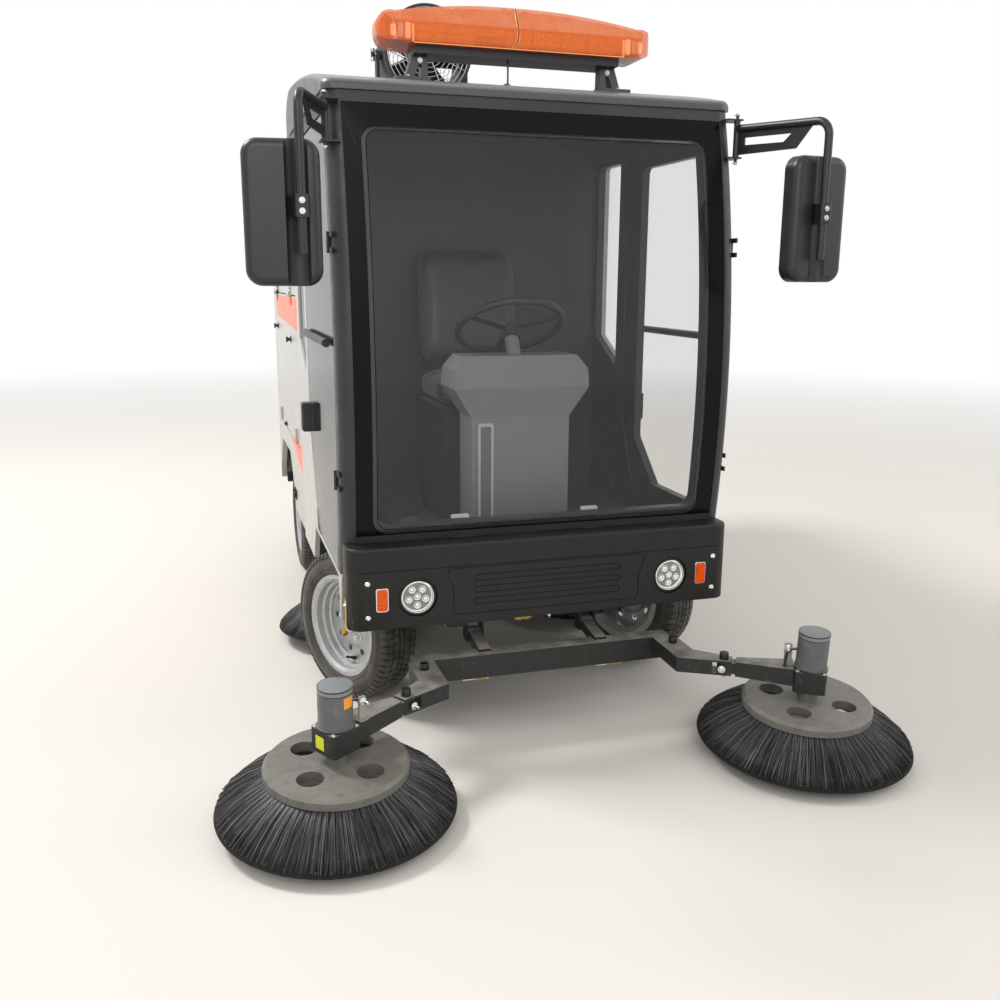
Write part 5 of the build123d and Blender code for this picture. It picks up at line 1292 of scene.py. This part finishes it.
class SWEEPER_OT_mirrors(bpy.types.Operator):
    """Finishes the mirrors"""
    bl_idname = "sweeper.mirrors"
    bl_label = "Mirrors"

    def execute(self, context):
        assign(finish("plum_black_abs"), *pair("mirror"))
        assign(finish("silvered_glass"), *pair("mirror_glass"))
        for side, sign in SIDES:
            bm = bmesh.new()
            for z, way in ((1.9662, 1), (1.8238, -1)):
                bolt(bm, Vector((sign * 0.650, -0.865, z)), (0, 0, way), 0.007, 0.006)
            piece("mirror_pin_nuts_" + side, bm, ["bright_zinc_nut"], "machine")
            height = 1.636 if sign > 0 else 1.621
            bm = bmesh.new()
            for dz in (0.003, 0.029):
                bolt(bm, Vector((sign * 0.757, -1.2229, height + dz)), AHEAD, 0.0052, 0.0045)
            piece("mirror_clamp_screws_" + side, bm, ["bright_zinc_nut"], "mirror_" + side)
        return {"FINISHED"}


class SWEEPER_OT_cabin(bpy.types.Operator):
    """Finishes the driver's place"""
    bl_idname = "sweeper.cabin"
    bl_label = "Cabin"

    def execute(self, context):
        assign(finish("grey_grained_abs"), "console")
        assign(finish("soft_grip_black"), "steering_wheel")
        self.trim()
        self.pedal()
        self.seat()
        return {"FINISHED"}

    @staticmethod
    def trim():
        """Framed strip on the column and ribbed plates on the pedals."""
        bm = bmesh.new()
        seat = facing((-0.1245, -0.6802, 0.812), AHEAD)
        slab(bm, rounded(0.054, 0.352, 0.008), -0.001, 0.0045, seat, 0, 0.002)
        slab(bm, rounded(0.036, 0.330, 0.006), 0.004, 0.0055, seat, 1, 0.0008)
        piece("column_strip", bm, ["pale_grey_abs", "mid_grey_abs"], "machine")
        bm = bmesh.new()
        for x in (-0.225, 0.235):
            tread = Matrix.Translation((x, -0.740, 0.655)) @ Matrix.Rotation(math.radians(55), 4, "X")
            slab(bm, rounded(0.062, 0.086, 0.006), 0.0046, 0.0064, tread, 0, 0.0008)
            for k in range(6):
                rib = tread @ Matrix.Translation((0, 0.0135 * (k - 2.5), 0))
                slab(bm, rounded(0.050, 0.004, 0.0015, 2), 0.0062, 0.0082, rib, 0, 0.0006)
        piece("pedal_plates", bm, ["pressed_aluminium"], "machine")

    @staticmethod
    def pedal():
        """Ribbed rubber pedal on a stem from the floor."""
        bm = bmesh.new()
        pad = facing((-0.401, -0.742, 0.668), (0, -0.9, 0.44))
        slab(bm, rounded(0.060, 0.062, 0.010), -0.007, 0.007, pad, 0, 0.003)
        for k in range(4):
            rib = pad @ Matrix.Translation((0, 0.012 * (k - 1.5), 0))
            slab(bm, rounded(0.046, 0.004, 0.0015, 2), 0.0065, 0.0085, rib)
        foot_x, foot_y = -0.401, -0.715
        lathe(bm, [(0.007, 0.0), (0.007, 0.085), (TIP, 0.085)], 16,
              facing((foot_x, foot_y, 0.5605), (0, -0.22, 1)))
        foot = facing((foot_x, foot_y, 0.5602), UP, (0, 1, 0))
        slab(bm, rounded(0.050, 0.040, 0.006), 0.0, 0.006, foot, 0, 0.002)
        piece("left_pedal", bm, ["moulded_pedal_rubber"], "machine")

    def seat(self):
        """Seat pads in vinyl, blown up by simulation over the shape of the cushions."""
        flat = Matrix.Translation((0, -0.205, 1.060))
        lean = Matrix.Translation((0, 0.028, 1.345)) @ Matrix.Rotation(math.radians(-10), 4, "X")
        pads = (("seat_pad", flat, (0.470, 0.450, 0.110)), ("back_pad", lean, (0.440, 0.090, 0.500)))
        done = [self.pad(name, frame_in, size) for name, frame_in, size in pads]
        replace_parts(done[0], "seat_cushions")

    @staticmethod
    def pad(name, frame_in, size):
        """One crowned pad: a soft box swollen by cloth pressure, kept within its cushion's box."""
        inset, frames, roundness = 0.014, 20, 6.0
        bm = bmesh.new()
        bmesh.ops.create_cube(bm, size=1.0)
        bmesh.ops.subdivide_edges(bm, edges=bm.edges[:], cuts=14, use_grid_fill=True)
        half = [(s - 2 * inset) / 2 for s in size]
        for vert in bm.verts:
            share = [2 * c for c in vert.co]
            reach = sum(abs(s) ** roundness for s in share) ** (1 / roundness)
            vert.co = Vector([h * s / reach for h, s in zip(half, share)])
        mesh = bpy.data.meshes.new(name)
        bm.to_mesh(mesh)
        bm.free()
        obj = bpy.data.objects.new(name, mesh)
        bpy.context.scene.collection.objects.link(obj)
        start = [v.co.copy() for v in mesh.vertices]
        cloth = obj.modifiers.new("cloth", "CLOTH")
        cloth.settings.use_pressure = True
        cloth.settings.uniform_pressure_force = 4.0
        cloth.settings.effector_weights.gravity = 0.0
        cloth.point_cache.frame_start = 1
        cloth.point_cache.frame_end = frames
        for step in range(1, frames + 1):
            bpy.context.scene.frame_set(step)
        swollen = obj.evaluated_get(bpy.context.evaluated_depsgraph_get()).to_mesh()
        places = [v.co.copy() for v in swollen.vertices]
        obj.modifiers.remove(cloth)
        bpy.context.scene.frame_set(1)
        for vert, first, last in zip(mesh.vertices, start, places):
            move = last - first
            vert.co = first + move.normalized() * min(move.length, inset)
        for vert in mesh.vertices:
            vert.co = frame_in @ vert.co
        soft = obj.modifiers.new("smooth", "SUBSURF")
        soft.levels = soft.render_levels = 1
        mesh.materials.append(finish("black_seat_vinyl"))
        mesh.polygons.foreach_set("use_smooth", [True] * len(mesh.polygons))
        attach(obj, "machine")
        return obj


class SWEEPER_OT_fittings(bpy.types.Operator):
    """Adds the screws, locks and hinges of the body and the bumper"""
    bl_idname = "sweeper.fittings"
    bl_label = "Fittings"

    def execute(self, context):
        assign(finish("battery_case"), "battery_pack")
        assign(finish("waste_bin_plastic"), "waste_bin")
        bm = bmesh.new()
        for sign in (-1, 1):
            for z in (0.5575, 0.4493):
                dome_screw(bm, Vector((sign * 0.5805, -0.9797, z)), AHEAD, 0.0095)
        piece("bumper_screws", bm, ["bright_zinc_head"], "machine")
        for side, sign in SIDES:
            self.flank(side, sign)
        self.under_bumper()
        return {"FINISHED"}

    @staticmethod
    def flank(side, sign):
        """Hinges, knobs, latches and clips of one flank."""
        skin = sign * (FLANK_X - 0.5 * MM)
        out = (sign, 0, 0)
        bm = bmesh.new()
        for y, z in ((1.357, 1.218), (0.678, 1.190)):
            lathe(bm, [(0.016, 0.0), (0.016, 0.003), (0.008, 0.005), (0.007, 0.014), (0.0125, 0.016),
                       (0.0125, 0.021), (0.010, 0.0225), (0.0005, 0.0228)], 24, facing((skin, y, z), out))
        for y in (1.099, 0.564):
            seat = facing((skin, y, 0.7555), out)
            slab(bm, rounded(0.058, 0.020, 0.006), -0.001, 0.006, seat, 0, 0.002)
            slab(bm, rounded(0.034, 0.010, 0.004), 0.005, 0.0125, seat, 0, 0.003)
        piece("service_locks_" + side, bm, ["black_fitting"], "service_door_" + side)
        bm = bmesh.new()
        for y in (1.301, 0.634):
            slab(bm, rounded(0.064, 0.030, 0.004), -0.001, 0.005, facing((skin, y, 1.3975), out), 0, 0.0015)
            lathe(bm, [(TIP, -0.030), (0.0065, -0.030), (0.0065, 0.030), (TIP, 0.030)], 20,
                  facing((skin + sign * 0.006, y, 1.384), (0, 1, 0)))
            for dy in (-0.022, 0.022):
                dome_screw(bm, Vector((skin + sign * 0.005, y + dy, 1.402)), out, 0.0045, 1)
        for y in (0.76, 0.70):
            seat = facing((skin, y, 0.482), out)
            slab(bm, rounded(0.030, 0.046, 0.006), -0.001, 0.005, seat, 0, 0.002)
            slab(bm, rounded(0.014, 0.028, 0.004), 0.004, 0.012, seat, 0, 0.003)
        piece("flank_hinges_" + side, bm, ["black_fitting", "bright_zinc_head"], "machine")

    @staticmethod
    def under_bumper():
        """Yellow strip with its disc and knob, and the fittings that hang under the bumper."""
        right = (-1, 0, 0)
        bm = bmesh.new()
        strip = facing((-0.6413, -0.932, 0.452), right)
        slab(bm, rounded(0.022, 0.105, 0.003), -0.0012, 0.0012, strip, 0, 0.0004)
        lathe(bm, [(TIP, -0.002), (0.018, -0.002), (0.018, 0.001), (TIP, 0.001)], 28,
              facing((-0.6423, -0.936, 0.404), right))
        lathe(bm, [(TIP, 0.0), (0.011, 0.0), (0.0125, 0.003), (0.0125, 0.010), (0.009, 0.013), (TIP, 0.0135)],
              24, facing((-0.6430, -0.938, 0.397), right), 1)
        bolt(bm, Vector((-0.6424, -0.932, 0.482)), right, 0.006, 0.005, 2)
        piece("yellow_bracket", bm, ["yellow_passivated_zinc", "turned_brass_fitting", "bright_zinc_head"],
              "machine")
        bm = bmesh.new()
        # a brass valve that lies across, its upright port, and a drain plug
        lathe(bm, [(TIP, 0.0), (0.007, 0.0), (0.0075, 0.006), (0.0105, 0.008), (0.0105, 0.020),
                   (0.0085, 0.022), (0.0085, 0.032), (0.011, 0.034), (0.011, 0.046), (0.006, 0.048),
                   (0.006, 0.056), (TIP, 0.056)], 20, facing((-0.098, -0.930, 0.3875), (1, 0, 0)))
        lathe(bm, [(TIP, 0.0), (0.006, 0.0), (0.006, 0.022), (TIP, 0.022)], 16,
              facing((-0.073, -0.930, 0.389), UP))
        bolt(bm, Vector((0.022, -0.928, 0.4078)), (0, 0, -1), 0.011, 0.013, 1, 1.5)
        lathe(bm, [(TIP, 0.0), (0.0062, 0.0), (0.0062, 0.012), (0.005, 0.013), (TIP, 0.013)], 18,
              facing((0.022, -0.928, 0.3948), (0, 0, -1)), 1)
        piece("hanging_fittings", bm, ["turned_brass_fitting", "bright_zinc_head"], "machine")


STEPS = (SWEEPER_OT_studio, SWEEPER_OT_paint, SWEEPER_OT_glazing, SWEEPER_OT_tyres, SWEEPER_OT_wheels,
         SWEEPER_OT_brushes, SWEEPER_OT_arms, SWEEPER_OT_lamps, SWEEPER_OT_fan, SWEEPER_OT_mirrors,
         SWEEPER_OT_cabin, SWEEPER_OT_fittings)


class SWEEPER_PT_panel(bpy.types.Panel):
    """Lists the sweeper's colours, sizes and steps"""
    bl_idname = "SWEEPER_PT_panel"
    bl_label = "Sweeper"
    bl_space_type = "VIEW_3D"
    bl_region_type = "UI"
    bl_category = "Sweeper"

    def draw(self, context):
        for group in (looks(), counts()):
            for name in group.__annotations__:
                self.layout.prop(group, name)
        for step in STEPS:
            self.layout.operator(step.bl_idname)


CLASSES = (SweeperLooks, SweeperCounts, *STEPS, SWEEPER_PT_panel)


def register():
    for item in CLASSES:
        bpy.utils.register_class(item)
    bpy.types.Scene.sweeper_looks = bpy.props.PointerProperty(type=SweeperLooks)
    bpy.types.Scene.sweeper_counts = bpy.props.PointerProperty(type=SweeperCounts)


def unregister():
    del bpy.types.Scene.sweeper_counts
    del bpy.types.Scene.sweeper_looks
    for item in reversed(CLASSES):
        bpy.utils.unregister_class(item)


def main():
    """Runs every step in order."""
    register()
    for step in STEPS:
        getattr(bpy.ops.sweeper, step.bl_idname.split(".")[1])()


if __name__ == "__main__":
    main()
